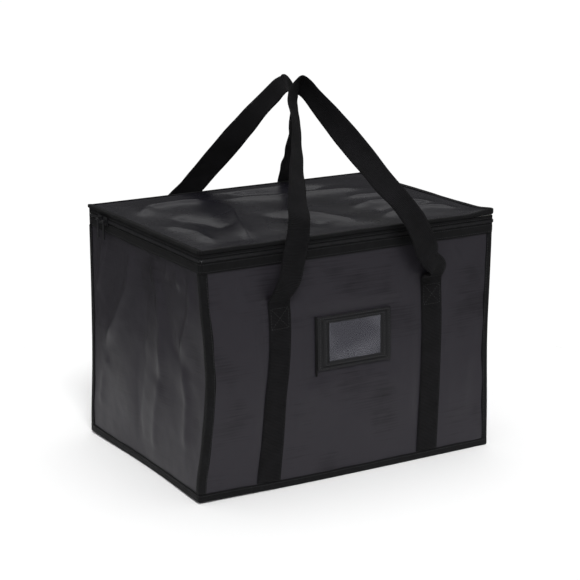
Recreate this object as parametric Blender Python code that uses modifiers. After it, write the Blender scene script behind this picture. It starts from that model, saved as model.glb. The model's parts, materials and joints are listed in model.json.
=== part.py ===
# Insulated food carrier: a soft box of coated cloth, foam and foil, with a
# three-sided zip, a fabric-hinged lid, two webbing handles and a card pocket.
# Metres, +Z up. Origin at the middle of the base, +X along the front to the
# right, +Y to the back, where the lid is hinged.
import math

import bmesh
import bpy
from mathutils import Matrix, Vector

# Driving sizes
WIDTH = 0.510            # outer cloth, left to right
DEPTH = 0.380            # outer cloth, front to back
HEIGHT = 0.380           # floor to the top cloth of the lid
GAP = 0.0003             # clearance between touching pieces

# Wall layers, from the outside in
CLOTH = 0.0012
FOAM = 0.0080
FOIL = 0.0008
BOARD = 0.0030           # stiffener under the base foam
LAYERS = (("outer", 0.0, CLOTH), ("foam", CLOTH + GAP, FOAM), ("liner", CLOTH + FOAM + 2 * GAP, FOIL))

# Heights of the trims
BINDING_LOW = 0.0004     # tape round the bottom edge
BINDING_TOP = 0.0124
RIM_LOW = 0.0163         # the rim tape hangs this far below the coils
ZIP_LINE = 0.3665        # where the two halves of the zip meet
COIL = 0.0023            # one half of the coil, square section
CLOTH_TOP = 0.3505       # top edge of the cloth on the zipped sides
FOAM_TOP = 0.3620
TAPE = 0.0007            # woven zip tape
TAPE_OUT = -0.0002       # inner face of the zip tape, out from the cloth
BAND = 0.0012            # folded binding and rim tape
BAND_OUT = 0.0008        # inner face of the rim tape, out from the cloth
COIL_OUT = 0.0012        # inner face of the coil, out from the cloth
ZIP_END = 0.176          # the zip's tapes stop here, short of the back
STOP_LONG = 0.0037       # end stops of the zip
STOP_THICK = 0.0029
STOP_TALL = 0.0029
CORNER_RADIUS = 0.0025
CORNER_LEG = 0.0090      # each half of a corner binding

# Lid, from the zip line up
LID_LOW = 0.3691
LID_BACK = 0.1880
LID_EDGE = 0.0014        # foam and foil stop this far inside the cloth's line
LID_BINDING_LOW = 0.3757
LID_BINDING_PROUD = 0.0012       # the rolled edge stands above the lid's cloth
LID_BINDING_THICK = 0.0026
HINGE_Y = 0.1925
HINGE_Z = 0.3680
HINGE_CLOTH_X = 0.2520   # half the width of the fold that hinges the lid
HINGE_CLOTH_LOW = 0.3475

# Webbing and handles
WEB_WIDE = 0.0380
WEB_THICK = 0.0016
WEB_TOP = 0.2947         # where the handle leaves its sewn tail
WEB_LEFT = (-0.1445, -0.1305)    # middle of the tail at its foot and at its top
WEB_RIGHT = (0.1370, 0.1405)
HANDLE_AXIS_Y = 0.2035
HANDLE_AXIS_Z = 0.2925

# Card pocket, on the front
POCKET_X = (-0.066, 0.065)
POCKET_Z = (0.175, 0.257)
WINDOW_X = (-0.044, 0.047)
WINDOW_Z = (0.187, 0.246)
WINDOW_HEM = 0.0060      # the film runs this far under the surround
POCKET_OUT = 0.0004      # clear of the front cloth
BACKING = 0.0008
FILM = 0.0004
SURROUND = 0.0012

# Zip sliders, on the left side: a plate outside the coils, with a lip that
# hooks under the lower one, two cheeks and the pin the pull swings on
SLIDER_LONG = 0.0130
SLIDER_FRONT_Y = 0.1170
SLIDER_BACK_Y = 0.1370
SLIDER_X = (-0.2606, -0.2590)
SLIDER_Z = (0.3600, 0.3730)
LIP_X = -0.2574
LIP_TALL = 0.0012
CHEEK_X = -0.2656
CHEEK_Y = (0.0035, 0.0048)       # each side of the slider's middle
CHEEK_Z = (0.3652, 0.3688)
BITE = 0.0008            # how far joined pieces run into each other
PIN_RADIUS = 0.0008
PIN_HALF = 0.0042
PIN_X = -0.2640
PIN_Z = 0.3670
PULL_LONG = 0.0300
PULL_WIDE = 0.0070
PULL_NECK = 0.0052
PULL_THICK = 0.0014
KNUCKLE_RADIUS = 0.0020
KNUCKLE_HALF = 0.0030
BORE_PLAY = 0.0003

# Middle line of each handle from its left foot to its right foot, and the way
# its outer edge points at each station. The straps lean in over the lid and
# twist near the top, where a hand gathers them.
FRONT_LOOP = (
    ((-0.1310, -0.1960, 0.2960), (-1.00, 0.00, 0.00)),
    ((-0.1305, -0.2060, 0.3070), (-1.00, 0.00, 0.04)),
    ((-0.1230, -0.2135, 0.3265), (-1.00, 0.00, 0.12)),
    ((-0.1210, -0.2190, 0.3495), (-1.00, 0.00, 0.16)),
    ((-0.1180, -0.2215, 0.3710), (-1.00, 0.03, 0.18)),
    ((-0.1150, -0.2240, 0.3930), (-1.00, 0.03, 0.18)),
    ((-0.1110, -0.2200, 0.4175), (-0.98, -0.10, 0.20)),
    ((-0.0980, -0.1940, 0.4380), (-0.92, -0.31, 0.23)),
    ((-0.0820, -0.1655, 0.4605), (-0.86, -0.45, 0.26)),
    ((-0.0665, -0.1390, 0.4815), (-0.79, -0.55, 0.27)),
    ((-0.0510, -0.1130, 0.5000), (-0.73, -0.62, 0.27)),
    ((-0.0390, -0.0920, 0.5180), (-0.71, -0.65, 0.27)),
    ((-0.0300, -0.0710, 0.5350), (-0.70, -0.66, 0.28)),
    ((-0.0215, -0.0520, 0.5500), (-0.75, -0.59, 0.29)),
    ((-0.0110, -0.0365, 0.5620), (-0.72, -0.59, 0.36)),
    ((0.0010, -0.0255, 0.5710), (-0.50, -0.60, 0.62)),
    ((0.0115, -0.0200, 0.5755), (-0.12, -0.52, 0.85)),
    ((0.0180, -0.0290, 0.5690), (0.06, -0.62, 0.78)),
    ((0.0225, -0.0450, 0.5560), (0.14, -0.68, 0.72)),
    ((0.0270, -0.0620, 0.5425), (0.24, -0.71, 0.66)),
    ((0.0320, -0.0800, 0.5280), (0.42, -0.62, 0.66)),
    ((0.0420, -0.1200, 0.4965), (0.68, -0.28, 0.60)),
    ((0.0515, -0.1590, 0.4655), (0.86, 0.00, 0.50)),
    ((0.0590, -0.1900, 0.4410), (0.89, 0.10, 0.44)),
    ((0.0680, -0.2130, 0.4220), (0.91, 0.12, 0.40)),
    ((0.0835, -0.2250, 0.3960), (0.96, 0.08, 0.27)),
    ((0.0980, -0.2255, 0.3700), (1.00, 0.02, 0.10)),
    ((0.1100, -0.2220, 0.3475), (1.00, -0.03, 0.03)),
    ((0.1230, -0.2165, 0.3270), (1.00, 0.00, 0.00)),
    ((0.1350, -0.2125, 0.3150), (1.00, 0.00, 0.00)),
    ((0.1402, -0.2045, 0.3050), (1.00, 0.00, 0.00)),
    ((0.1405, -0.1960, 0.2960), (1.00, 0.00, 0.00)),
)
REAR_LOOP = (
    ((-0.1405, 0.1960, 0.2960), (-1.00, 0.00, 0.00)),
    ((-0.1402, 0.2050, 0.3055), (-1.00, 0.00, 0.05)),
    ((-0.1340, 0.2130, 0.3155), (-1.00, 0.00, 0.12)),
    ((-0.1220, 0.2175, 0.3265), (-0.97, 0.00, 0.27)),
    ((-0.1030, 0.2215, 0.3430), (-0.88, 0.00, 0.47)),
    ((-0.0800, 0.2215, 0.3640), (-0.78, 0.02, 0.62)),
    ((-0.0600, 0.2140, 0.3840), (-0.73, 0.05, 0.68)),
    ((-0.0500, 0.1950, 0.4060), (-0.72, 0.09, 0.69)),
    ((-0.0425, 0.1725, 0.4290), (-0.70, 0.16, 0.69)),
    ((-0.0345, 0.1500, 0.4515), (-0.63, 0.29, 0.67)),
    ((-0.0265, 0.1285, 0.4740), (-0.50, 0.50, 0.62)),
    ((-0.0185, 0.1070, 0.4960), (-0.32, 0.76, 0.54)),
    ((-0.0110, 0.0855, 0.5175), (-0.20, 0.88, 0.43)),
    ((-0.0030, 0.0645, 0.5390), (-0.10, 0.94, 0.34)),
    ((0.0045, 0.0490, 0.5545), (-0.05, 0.94, 0.36)),
    ((0.0100, 0.0385, 0.5650), (0.05, 0.87, 0.50)),
    ((0.0175, 0.0335, 0.5700), (0.28, 0.78, 0.56)),
    ((0.0300, 0.0450, 0.5585), (0.55, 0.75, 0.36)),
    ((0.0440, 0.0620, 0.5415), (0.63, 0.77, 0.13)),
    ((0.0575, 0.0840, 0.5190), (0.62, 0.78, -0.06)),
    ((0.0695, 0.1065, 0.4960), (0.60, 0.78, -0.17)),
    ((0.0815, 0.1280, 0.4745), (0.64, 0.74, -0.20)),
    ((0.0920, 0.1480, 0.4540), (0.72, 0.66, -0.20)),
    ((0.1035, 0.1685, 0.4325), (0.82, 0.54, -0.18)),
    ((0.1150, 0.1930, 0.4080), (0.91, 0.38, -0.14)),
    ((0.1210, 0.2110, 0.3840), (0.97, 0.20, -0.08)),
    ((0.1250, 0.2190, 0.3600), (0.99, 0.06, -0.03)),
    ((0.1290, 0.2170, 0.3360), (1.00, 0.00, 0.00)),
    ((0.1310, 0.2080, 0.3120), (1.00, 0.00, 0.00)),
    ((0.1305, 0.1960, 0.2960), (1.00, 0.00, 0.00)),
)
HANDLE_STEPS = 3         # stations between two points of the middle line

COATED_CLOTH = ((0.034, 0.034, 0.036), 0.48, 0.0)
LID_CLOTH = ((0.020, 0.020, 0.024), 0.38, 0.0)
WHITE_FOAM = ((0.75, 0.75, 0.73), 0.85, 0.0)
FOIL_LINING = ((0.72, 0.72, 0.74), 0.28, 0.9)
GREY_BOARD = ((0.25, 0.23, 0.20), 0.80, 0.0)
BLACK_TAPE = ((0.014, 0.014, 0.015), 0.80, 0.0)
BLACK_WEBBING = ((0.010, 0.010, 0.011), 0.85, 0.0)
NYLON_COIL = ((0.012, 0.012, 0.013), 0.45, 0.0)
BLACK_METAL = ((0.020, 0.020, 0.022), 0.35, 0.8)
CLEAR_VINYL = ((0.16, 0.16, 0.18), 0.20, 0.0)


def clear_scene():
    for obj in list(bpy.data.objects):
        bpy.data.objects.remove(obj, do_unlink=True)


def make_collection(name):
    group = bpy.data.collections.new(name)
    bpy.context.scene.collection.children.link(group)
    return group


clear_scene()
carrier = make_collection("insulated_food_carrier")
cutters = make_collection("cutters")


def material(name, finish):
    colour, roughness, metallic = finish
    mat = bpy.data.materials.get(name) or bpy.data.materials.new(name)
    mat.use_nodes = True
    shader = mat.node_tree.nodes["Principled BSDF"]
    shader.inputs["Base Color"].default_value = (*colour, 1.0)
    shader.inputs["Roughness"].default_value = roughness
    shader.inputs["Metallic"].default_value = metallic
    return mat


def add_part(name, mesh, finish, finish_name, origin=(0.0, 0.0, 0.0)):
    """Link a mesh drawn in world coordinates as a part whose origin is given."""
    mesh.transform(Matrix.Translation(-Vector(origin)))
    obj = bpy.data.objects.new(name, mesh)
    obj.location = origin
    obj.data.materials.append(material(finish_name, finish))
    carrier.objects.link(obj)
    return obj


def box_mesh(name, low, high):
    low, high = Vector(low), Vector(high)
    bm = bmesh.new()
    bmesh.ops.create_cube(bm, size=1.0)
    bmesh.ops.scale(bm, vec=high - low, verts=bm.verts)
    bmesh.ops.translate(bm, vec=(low + high) / 2, verts=bm.verts)
    mesh = bpy.data.meshes.new(name)
    bm.to_mesh(mesh)
    bm.free()
    return mesh


def add_box(name, low, high, finish, finish_name, origin=(0.0, 0.0, 0.0)):
    return add_part(name, box_mesh(name, low, high), finish, finish_name, origin)


def strip_mesh(name, rows, closed=False):
    """An open surface through equal rows of points, one row after another."""
    bm = bmesh.new()
    grid = [[bm.verts.new(point) for point in row] for row in rows]
    last = len(grid) if closed else len(grid) - 1
    for i in range(last):
        here, after = grid[i], grid[(i + 1) % len(grid)]
        for j in range(len(here) - 1):
            bm.faces.new((here[j], after[j], after[j + 1], here[j + 1]))
    mesh = bpy.data.meshes.new(name)
    bm.to_mesh(mesh)
    bm.free()
    return mesh


def solidify(obj, thickness, offset, even=True):
    mod = obj.modifiers.new("thickness", "SOLIDIFY")
    mod.thickness = thickness
    mod.offset = offset
    mod.use_even_offset = even


def corner_radius(outset):
    """Sharp enough for a tape this far out to clear the box's own corner."""
    return 3 * outset if outset > 0 else CORNER_RADIUS


def corner_arc(x, y, radius, start):
    """Quarter turn about a corner's centre, anticlockwise from above."""
    steps = 4
    points = []
    for i in range(steps + 1):
        angle = math.radians(start + 90.0 * i / steps)
        points.append((x + radius * math.cos(angle), y + radius * math.sin(angle)))
    return points


def round_the_front(outset, back):
    """Left side, front and right side of the carrier as one line in plan."""
    x, y = WIDTH / 2 + outset, DEPTH / 2 + outset
    r = corner_radius(outset)
    line = [(-x, back)]
    line += corner_arc(-x + r, -y + r, r, 180.0)
    line += corner_arc(x - r, -y + r, r, 270.0)
    line.append((x, back))
    return line


def all_round(outset):
    x, y = WIDTH / 2 + outset, DEPTH / 2 + outset
    r = corner_radius(outset)
    line = corner_arc(-x + r, -y + r, r, 180.0) + corner_arc(x - r, -y + r, r, 270.0)
    return line + corner_arc(x - r, y - r, r, 0.0) + corner_arc(-x + r, y - r, r, 90.0)


def band(name, line, low, high, thickness, finish, finish_name, closed=False, origin=(0, 0, 0)):
    """A flat tape standing on edge along a line in plan, thickened outward."""
    rows = [((x, y, low), (x, y, high)) for x, y in line]
    obj = add_part(name, strip_mesh(name, rows, closed), finish, finish_name, origin)
    solidify(obj, thickness, 1.0)
    return obj


# Body: cloth, foam and foil walls
def make_walls():
    finishes = {
        "outer": (COATED_CLOTH, "coated_cloth"),
        "foam": (WHITE_FOAM, "polyethylene_foam"),
        "liner": (FOIL_LINING, "foil_lining"),
    }
    base_top = CLOTH + GAP + BOARD + GAP
    lows = {"outer": CLOTH + GAP, "foam": base_top, "liner": base_top + FOAM + GAP}
    for layer, inset, thick in LAYERS:
        finish, finish_name = finishes[layer]
        x, y = WIDTH / 2 - inset, DEPTH / 2 - inset
        low = lows[layer]
        high = CLOTH_TOP if layer == "outer" else FOAM_TOP
        back_high = ZIP_LINE - GAP if layer == "outer" else FOAM_TOP
        inner = x - thick - GAP
        add_box(f"{layer}_left", (-x, -y, low), (-x + thick, y, high), finish, finish_name)
        add_box(f"{layer}_right", (x - thick, -y, low), (x, y, high), finish, finish_name)
        add_box(f"{layer}_front", (-inner, -y, low), (inner, -y + thick, high), finish, finish_name)
        add_box(f"{layer}_back", (-inner, y - thick, low), (inner, y, back_high), finish, finish_name)


def make_base():
    board_low = CLOTH + GAP
    foam_low = board_low + BOARD + GAP
    foil_low = foam_low + FOAM + GAP
    board_in = CLOTH + 2 * GAP
    foam_in = CLOTH + FOAM + 2 * GAP
    foil_in = foam_in + FOIL + GAP
    add_box("outer_base", (-WIDTH / 2, -DEPTH / 2, 0.0), (WIDTH / 2, DEPTH / 2, CLOTH),
            COATED_CLOTH, "coated_cloth")
    for name, inset, low, thick, finish, finish_name in (
        ("base_board", board_in, board_low, BOARD, GREY_BOARD, "grey_board"),
        ("foam_base", foam_in, foam_low, FOAM, WHITE_FOAM, "polyethylene_foam"),
        ("liner_base", foil_in, foil_low, FOIL, FOIL_LINING, "foil_lining"),
    ):
        x, y = WIDTH / 2 - inset, DEPTH / 2 - inset
        add_box(name, (-x, -y, low), (x, y, low + thick), finish, finish_name)


# Bindings, rim tape and the lower half of the zip
def make_bindings():
    band("base_binding", all_round(GAP), BINDING_LOW, BINDING_TOP, BAND, BLACK_TAPE, "binding_tape",
         closed=True)
    x, y = WIDTH / 2 + GAP, DEPTH / 2 + GAP
    r = corner_radius(GAP)
    corners = {
        "front_left": (-x + r, -y + r, 180.0),
        "front_right": (x - r, -y + r, 270.0),
        "back_right": (x - r, y - r, 0.0),
        "back_left": (-x + r, y - r, 90.0),
    }
    for name, (cx, cy, start) in corners.items():
        arc = corner_arc(cx, cy, r, start)
        along = CORNER_LEG - r
        coming, going = math.radians(start + 90.0), math.radians(start + 180.0)
        line = [(arc[0][0] - along * math.cos(coming), arc[0][1] - along * math.sin(coming))]
        line += arc
        line.append((arc[-1][0] + along * math.cos(going), arc[-1][1] + along * math.sin(going)))
        band(f"corner_binding_{name}", line, BINDING_TOP + GAP, ZIP_LINE - GAP - RIM_LOW - COIL - GAP,
             BAND, BLACK_TAPE, "binding_tape")


def make_zip_lower():
    coil_top = ZIP_LINE - GAP / 2
    rim_top = coil_top - COIL - 2 * GAP
    band("zip_tape_lower", round_the_front(TAPE_OUT, ZIP_END), CLOTH_TOP + GAP, coil_top, TAPE,
         BLACK_TAPE, "zip_tape")
    band("rim_band", round_the_front(BAND_OUT, ZIP_END), rim_top - RIM_LOW + GAP, rim_top, BAND,
         BLACK_TAPE, "binding_tape")
    band("zip_coil_lower", round_the_front(COIL_OUT, ZIP_END), coil_top - COIL, coil_top, COIL,
         NYLON_COIL, "nylon_coil")
    out = WIDTH / 2 + COIL_OUT
    y, z = ZIP_END + GAP, ZIP_LINE - GAP
    for name, side in (("zip_stop_left", -1), ("zip_stop_right", 1)):
        x0, x1 = sorted((side * out, side * (out + STOP_THICK)))
        add_box(name, (x0, y, z - STOP_TALL), (x1, y + STOP_LONG, z), BLACK_METAL, "black_metal")


def make_hinge_tape():
    y = DEPTH / 2 + GAP
    add_box("lid_hinge_tape", (-HINGE_CLOTH_X, y, HINGE_CLOTH_LOW), (HINGE_CLOTH_X, y + BAND, ZIP_LINE),
            COATED_CLOTH, "coated_cloth")


# Sewn webbing and the card pocket
def make_webbing():
    inner = DEPTH / 2 + GAP
    low = BINDING_TOP + GAP
    half = WEB_WIDE / 2
    for side, turn in (("front", 1), ("back", -1)):
        for name, (foot, top) in (("left", WEB_LEFT), ("right", WEB_RIGHT)):
            hand = name if turn == 1 else {"left": "right", "right": "left"}[name]
            rows = [((foot + dx) * turn, -inner * turn, low) for dx in (-half, half)]
            tops = [((top + dx) * turn, -inner * turn, WEB_TOP) for dx in (-half, half)]
            mesh = strip_mesh(f"webbing_{side}_{hand}", [(rows[0], tops[0]), (rows[1], tops[1])])
            obj = add_part(f"webbing_{side}_{hand}", mesh, BLACK_WEBBING, "webbing")
            solidify(obj, WEB_THICK, 1.0)


def make_pocket():
    back_y = -DEPTH / 2 - POCKET_OUT
    film_y = back_y - BACKING - GAP
    frame_y = film_y - FILM - GAP
    (x0, x1), (z0, z1) = POCKET_X, POCKET_Z
    (wx0, wx1), (wz0, wz1) = WINDOW_X, WINDOW_Z
    hem = WINDOW_HEM
    add_box("card_pocket_back", (x0, back_y - BACKING, z0), (x1, back_y, z1), BLACK_TAPE, "pocket_vinyl")
    add_box("card_window", (wx0 - hem, film_y - FILM, wz0 - hem), (wx1 + hem, film_y, wz1 + hem),
            CLEAR_VINYL, "clear_vinyl")
    frame = add_box("card_pocket_frame", (x0, frame_y - SURROUND, z0), (x1, frame_y, z1),
                    BLACK_TAPE, "pocket_vinyl")
    hole_mesh = box_mesh("pocket_window_cutter", (wx0, frame_y - 2 * SURROUND, wz0),
                         (wx1, frame_y + SURROUND, wz1))
    hole = bpy.data.objects.new("pocket_window_cutter", hole_mesh)
    cut_with(frame, hole)


def cut_with(obj, cutter, operation="DIFFERENCE"):
    cutters.objects.link(cutter)
    cutter.hide_render = True
    cutter.display_type = "WIRE"
    mod = obj.modifiers.new(operation.lower(), "BOOLEAN")
    mod.operation = operation
    mod.object = cutter


# Lid
def make_lid():
    hinge = (0.0, HINGE_Y, HINGE_Z)
    x, front = WIDTH / 2, -DEPTH / 2
    foil_top = LID_LOW + FOIL
    foam_low = foil_top + GAP
    cloth_low = HEIGHT - CLOTH
    ix, iy = WIDTH / 2 - LID_EDGE, -DEPTH / 2 + LID_EDGE
    add_box("lid_outer", (-x, front, cloth_low), (x, LID_BACK, HEIGHT), LID_CLOTH, "lid_cloth", hinge)
    add_box("lid_foam", (-ix, iy, foam_low), (ix, LID_BACK, cloth_low - GAP), WHITE_FOAM,
            "polyethylene_foam", hinge)
    add_box("lid_liner", (-ix, iy, LID_LOW), (ix, LID_BACK, foil_top), FOIL_LINING, "foil_lining", hinge)
    coil_low = ZIP_LINE + GAP / 2
    skirt_low = coil_low + COIL + GAP
    band("zip_tape_upper", round_the_front(TAPE_OUT, ZIP_END), coil_low + GAP, LID_BINDING_LOW - GAP,
         TAPE, BLACK_TAPE, "zip_tape", origin=hinge)
    band("zip_coil_upper", round_the_front(COIL_OUT, ZIP_END), coil_low, coil_low + COIL, COIL,
         NYLON_COIL, "nylon_coil", origin=hinge)
    band("lid_skirt", round_the_front(BAND_OUT, ZIP_END), skirt_low, LID_BINDING_LOW - GAP, BAND,
         BLACK_TAPE, "binding_tape", origin=hinge)
    band("lid_binding", round_the_front(BAND_OUT, LID_BACK), LID_BINDING_LOW, HEIGHT + LID_BINDING_PROUD,
         LID_BINDING_THICK, BLACK_TAPE, "binding_tape", origin=hinge)


# Handles
def spline(points, steps):
    """Catmull-Rom curve through the points, with the same steps in each span."""
    padded = [points[0] * 2 - points[1]] + points + [points[-1] * 2 - points[-2]]
    out = []
    for i in range(1, len(padded) - 2):
        p0, p1, p2, p3 = padded[i - 1:i + 3]
        for k in range(steps):
            t = k / steps
            out.append(0.5 * ((2 * p1) + (p2 - p0) * t + (2 * p0 - 5 * p1 + 4 * p2 - p3) * t ** 2
                              + (3 * p1 - p0 - 3 * p2 + p3) * t ** 3))
    out.append(points[-1])
    return out


def handle_rows(loop):
    middles = spline([Vector(point) for point, _ in loop], HANDLE_STEPS)
    edges = spline([Vector(edge) for _, edge in loop], HANDLE_STEPS)
    rows = []
    for i, (middle, edge) in enumerate(zip(middles, edges)):
        along = middles[min(i + 1, len(middles) - 1)] - middles[max(i - 1, 0)]
        along.normalize()
        across = (edge - along * edge.dot(along)).normalized() * WEB_WIDE / 2
        rows.append((middle - across, middle + across))
    return rows


def make_handles():
    for name, loop, axis_y in (("front_handle", FRONT_LOOP, -HANDLE_AXIS_Y),
                               ("rear_handle", REAR_LOOP, HANDLE_AXIS_Y)):
        obj = add_part(name, strip_mesh(name, handle_rows(loop)), BLACK_WEBBING, "webbing",
                       (0.0, axis_y, HANDLE_AXIS_Z))
        solidify(obj, WEB_THICK, 0.0, even=False)


# Zip sliders and pulls
def rod_mesh(name, radius, y0, y1, x, z, sides=20):
    bm = bmesh.new()
    place = Matrix.Translation((x, (y0 + y1) / 2, z)) @ Matrix.Rotation(math.pi / 2, 4, "X")
    bmesh.ops.create_cone(bm, cap_ends=True, segments=sides, radius1=radius, radius2=radius,
                          depth=y1 - y0, matrix=place)
    mesh = bpy.data.meshes.new(name)
    bm.to_mesh(mesh)
    bm.free()
    return mesh


def join_pieces(obj, meshes, origin):
    for i, mesh in enumerate(meshes):
        mesh.transform(Matrix.Translation(-Vector(origin)))
        piece = bpy.data.objects.new(f"{obj.name}_piece_{i}", mesh)
        piece.location = origin
        cut_with(obj, piece, "UNION")


def make_slider(name, y):
    origin = (PIN_X, y, PIN_Z)
    half = SLIDER_LONG / 2
    (plate_out, plate_in), (low, high) = SLIDER_X, SLIDER_Z
    slider = add_box(name, (plate_out, y - half, low), (plate_in, y + half, high),
                     BLACK_METAL, "black_metal", origin)
    lip = box_mesh("lip", (plate_in - BITE, y - half, low), (LIP_X, y + half, low + LIP_TALL))
    near, far = CHEEK_Y
    cheeks = [box_mesh("cheek", (CHEEK_X, y + a, CHEEK_Z[0]), (plate_out + BITE, y + b, CHEEK_Z[1]))
              for a, b in ((-far, -near), (near, far))]
    pin = rod_mesh("pin", PIN_RADIUS, y - PIN_HALF, y + PIN_HALF, PIN_X, PIN_Z)
    join_pieces(slider, [lip, *cheeks, pin], origin)
    return slider


def make_pull(name, y):
    """Flat tab with a round foot, hung from the slider's pin by a knuckle."""
    origin = (PIN_X, y, PIN_Z)
    knuckle = rod_mesh(name, KNUCKLE_RADIUS, y - KNUCKLE_HALF, y + KNUCKLE_HALF, PIN_X, PIN_Z, 24)
    pull = add_part(name, knuckle, BLACK_METAL, "black_metal", origin)
    half, neck = PULL_THICK / 2, PULL_NECK / 2
    foot_z = PIN_Z - PULL_LONG + PULL_WIDE / 2
    tab = box_mesh("tab", (PIN_X - half, y - neck, foot_z),
                   (PIN_X + half, y + neck, PIN_Z - KNUCKLE_RADIUS + BITE))
    foot = bmesh.new()
    place = Matrix.Translation((PIN_X, y, foot_z)) @ Matrix.Rotation(math.pi / 2, 4, "Y")
    bmesh.ops.create_cone(foot, cap_ends=True, segments=24, radius1=PULL_WIDE / 2, radius2=PULL_WIDE / 2,
                          depth=PULL_THICK, matrix=place)
    foot_mesh = bpy.data.meshes.new("foot")
    foot.to_mesh(foot_mesh)
    foot.free()
    join_pieces(pull, [tab, foot_mesh], origin)
    bore = rod_mesh("bore", PIN_RADIUS + BORE_PLAY, y - 2 * KNUCKLE_HALF, y + 2 * KNUCKLE_HALF,
                    PIN_X, PIN_Z)
    cut_with(pull, bpy.data.objects.new(f"{name}_bore", bore))
    return pull


make_walls()
make_base()
make_bindings()
make_zip_lower()
make_hinge_tape()
make_webbing()
make_pocket()
make_lid()
make_handles()
for label, slider_y in (("front", SLIDER_FRONT_Y), ("rear", SLIDER_BACK_Y)):
    make_slider(f"zip_slider_{label}", slider_y)
    make_pull(f"zip_pull_{label}", slider_y)
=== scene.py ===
import json
import math

import bmesh
import bpy
import numpy as np
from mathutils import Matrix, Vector, noise

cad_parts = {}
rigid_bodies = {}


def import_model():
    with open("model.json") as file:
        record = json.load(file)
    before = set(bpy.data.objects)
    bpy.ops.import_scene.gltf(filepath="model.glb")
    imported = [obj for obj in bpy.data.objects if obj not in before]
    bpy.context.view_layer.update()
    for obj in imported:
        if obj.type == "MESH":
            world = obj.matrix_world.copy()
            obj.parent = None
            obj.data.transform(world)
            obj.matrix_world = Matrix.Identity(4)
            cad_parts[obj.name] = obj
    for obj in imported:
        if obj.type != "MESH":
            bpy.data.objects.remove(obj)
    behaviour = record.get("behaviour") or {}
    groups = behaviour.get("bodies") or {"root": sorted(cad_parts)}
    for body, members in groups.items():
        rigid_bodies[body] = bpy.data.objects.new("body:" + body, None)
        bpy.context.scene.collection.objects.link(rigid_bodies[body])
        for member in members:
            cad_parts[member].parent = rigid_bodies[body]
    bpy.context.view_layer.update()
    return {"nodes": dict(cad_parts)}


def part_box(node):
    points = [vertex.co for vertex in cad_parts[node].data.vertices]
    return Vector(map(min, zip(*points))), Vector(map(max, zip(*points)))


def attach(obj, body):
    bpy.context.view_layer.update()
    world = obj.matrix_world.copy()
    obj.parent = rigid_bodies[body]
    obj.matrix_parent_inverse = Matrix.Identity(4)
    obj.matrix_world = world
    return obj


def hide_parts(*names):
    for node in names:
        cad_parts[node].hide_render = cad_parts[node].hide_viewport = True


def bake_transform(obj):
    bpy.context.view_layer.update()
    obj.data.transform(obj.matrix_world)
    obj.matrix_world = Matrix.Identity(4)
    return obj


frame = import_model()
print("frame loaded")


def toLinear(hexColour):
    parts = [int(hexColour[i:i + 2], 16) / 255 for i in (1, 3, 5)]
    return [p / 12.92 if p <= 0.04045 else ((p + 0.055) / 1.055) ** 2.4 for p in parts] + [1.0]


def addNode(tree, kind, ins=None, **settings):
    node = tree.nodes.new("ShaderNode" + kind)
    for name, value in settings.items():
        setattr(node, name, value)
    for name, value in (ins or {}).items():
        if isinstance(value, bpy.types.NodeSocket):
            tree.links.new(value, node.inputs[name])
        else:
            node.inputs[name].default_value = value
    return node


def newMaterial(name, hexColour, **shader):
    mat = bpy.data.materials.new(name)
    mat.use_nodes = True
    tree = mat.node_tree
    skin = tree.nodes["Principled BSDF"]
    skin.inputs["Base Color"].default_value = toLinear(hexColour)
    for key, value in shader.items():
        skin.inputs[key.replace("_", " ")].default_value = value
    mat.diffuse_color = toLinear(hexColour)
    return mat, tree, skin


def bandScale(pitch):
    return math.pi / 10 / pitch      # wave texture scale that repeats every pitch metres


def ramp(tree, fac, stops):
    node = addNode(tree, "ValToRGB", {"Fac": fac})
    points = node.color_ramp.elements
    while len(points) < len(stops):
        points.new(0.5)
    for point, (where, hexColour) in zip(points, stops):
        point.position = where
        point.color = toLinear(hexColour)
    return node.outputs["Color"]


def dress(tree, skin, tint, height, strength, distance):
    bump = addNode(tree, "Bump", {"Height": height, "Strength": strength, "Distance": distance})
    tree.links.new(bump.outputs["Normal"], skin.inputs["Normal"])
    tree.links.new(tint, skin.inputs["Base Color"])


coatedLook = {
    "dark": "#100e12", "light": "#2b292e",   # patches of the cloth, sRGB
    "thread": 0.0018,                        # drawn three times coarser than the real 0.6 mm, so it shows
    "patch": 0.09,                           # size of the slow colour changes, m
    "roughness": 0.46, "specular": 0.15, "coat": 0.05,
}


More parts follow.
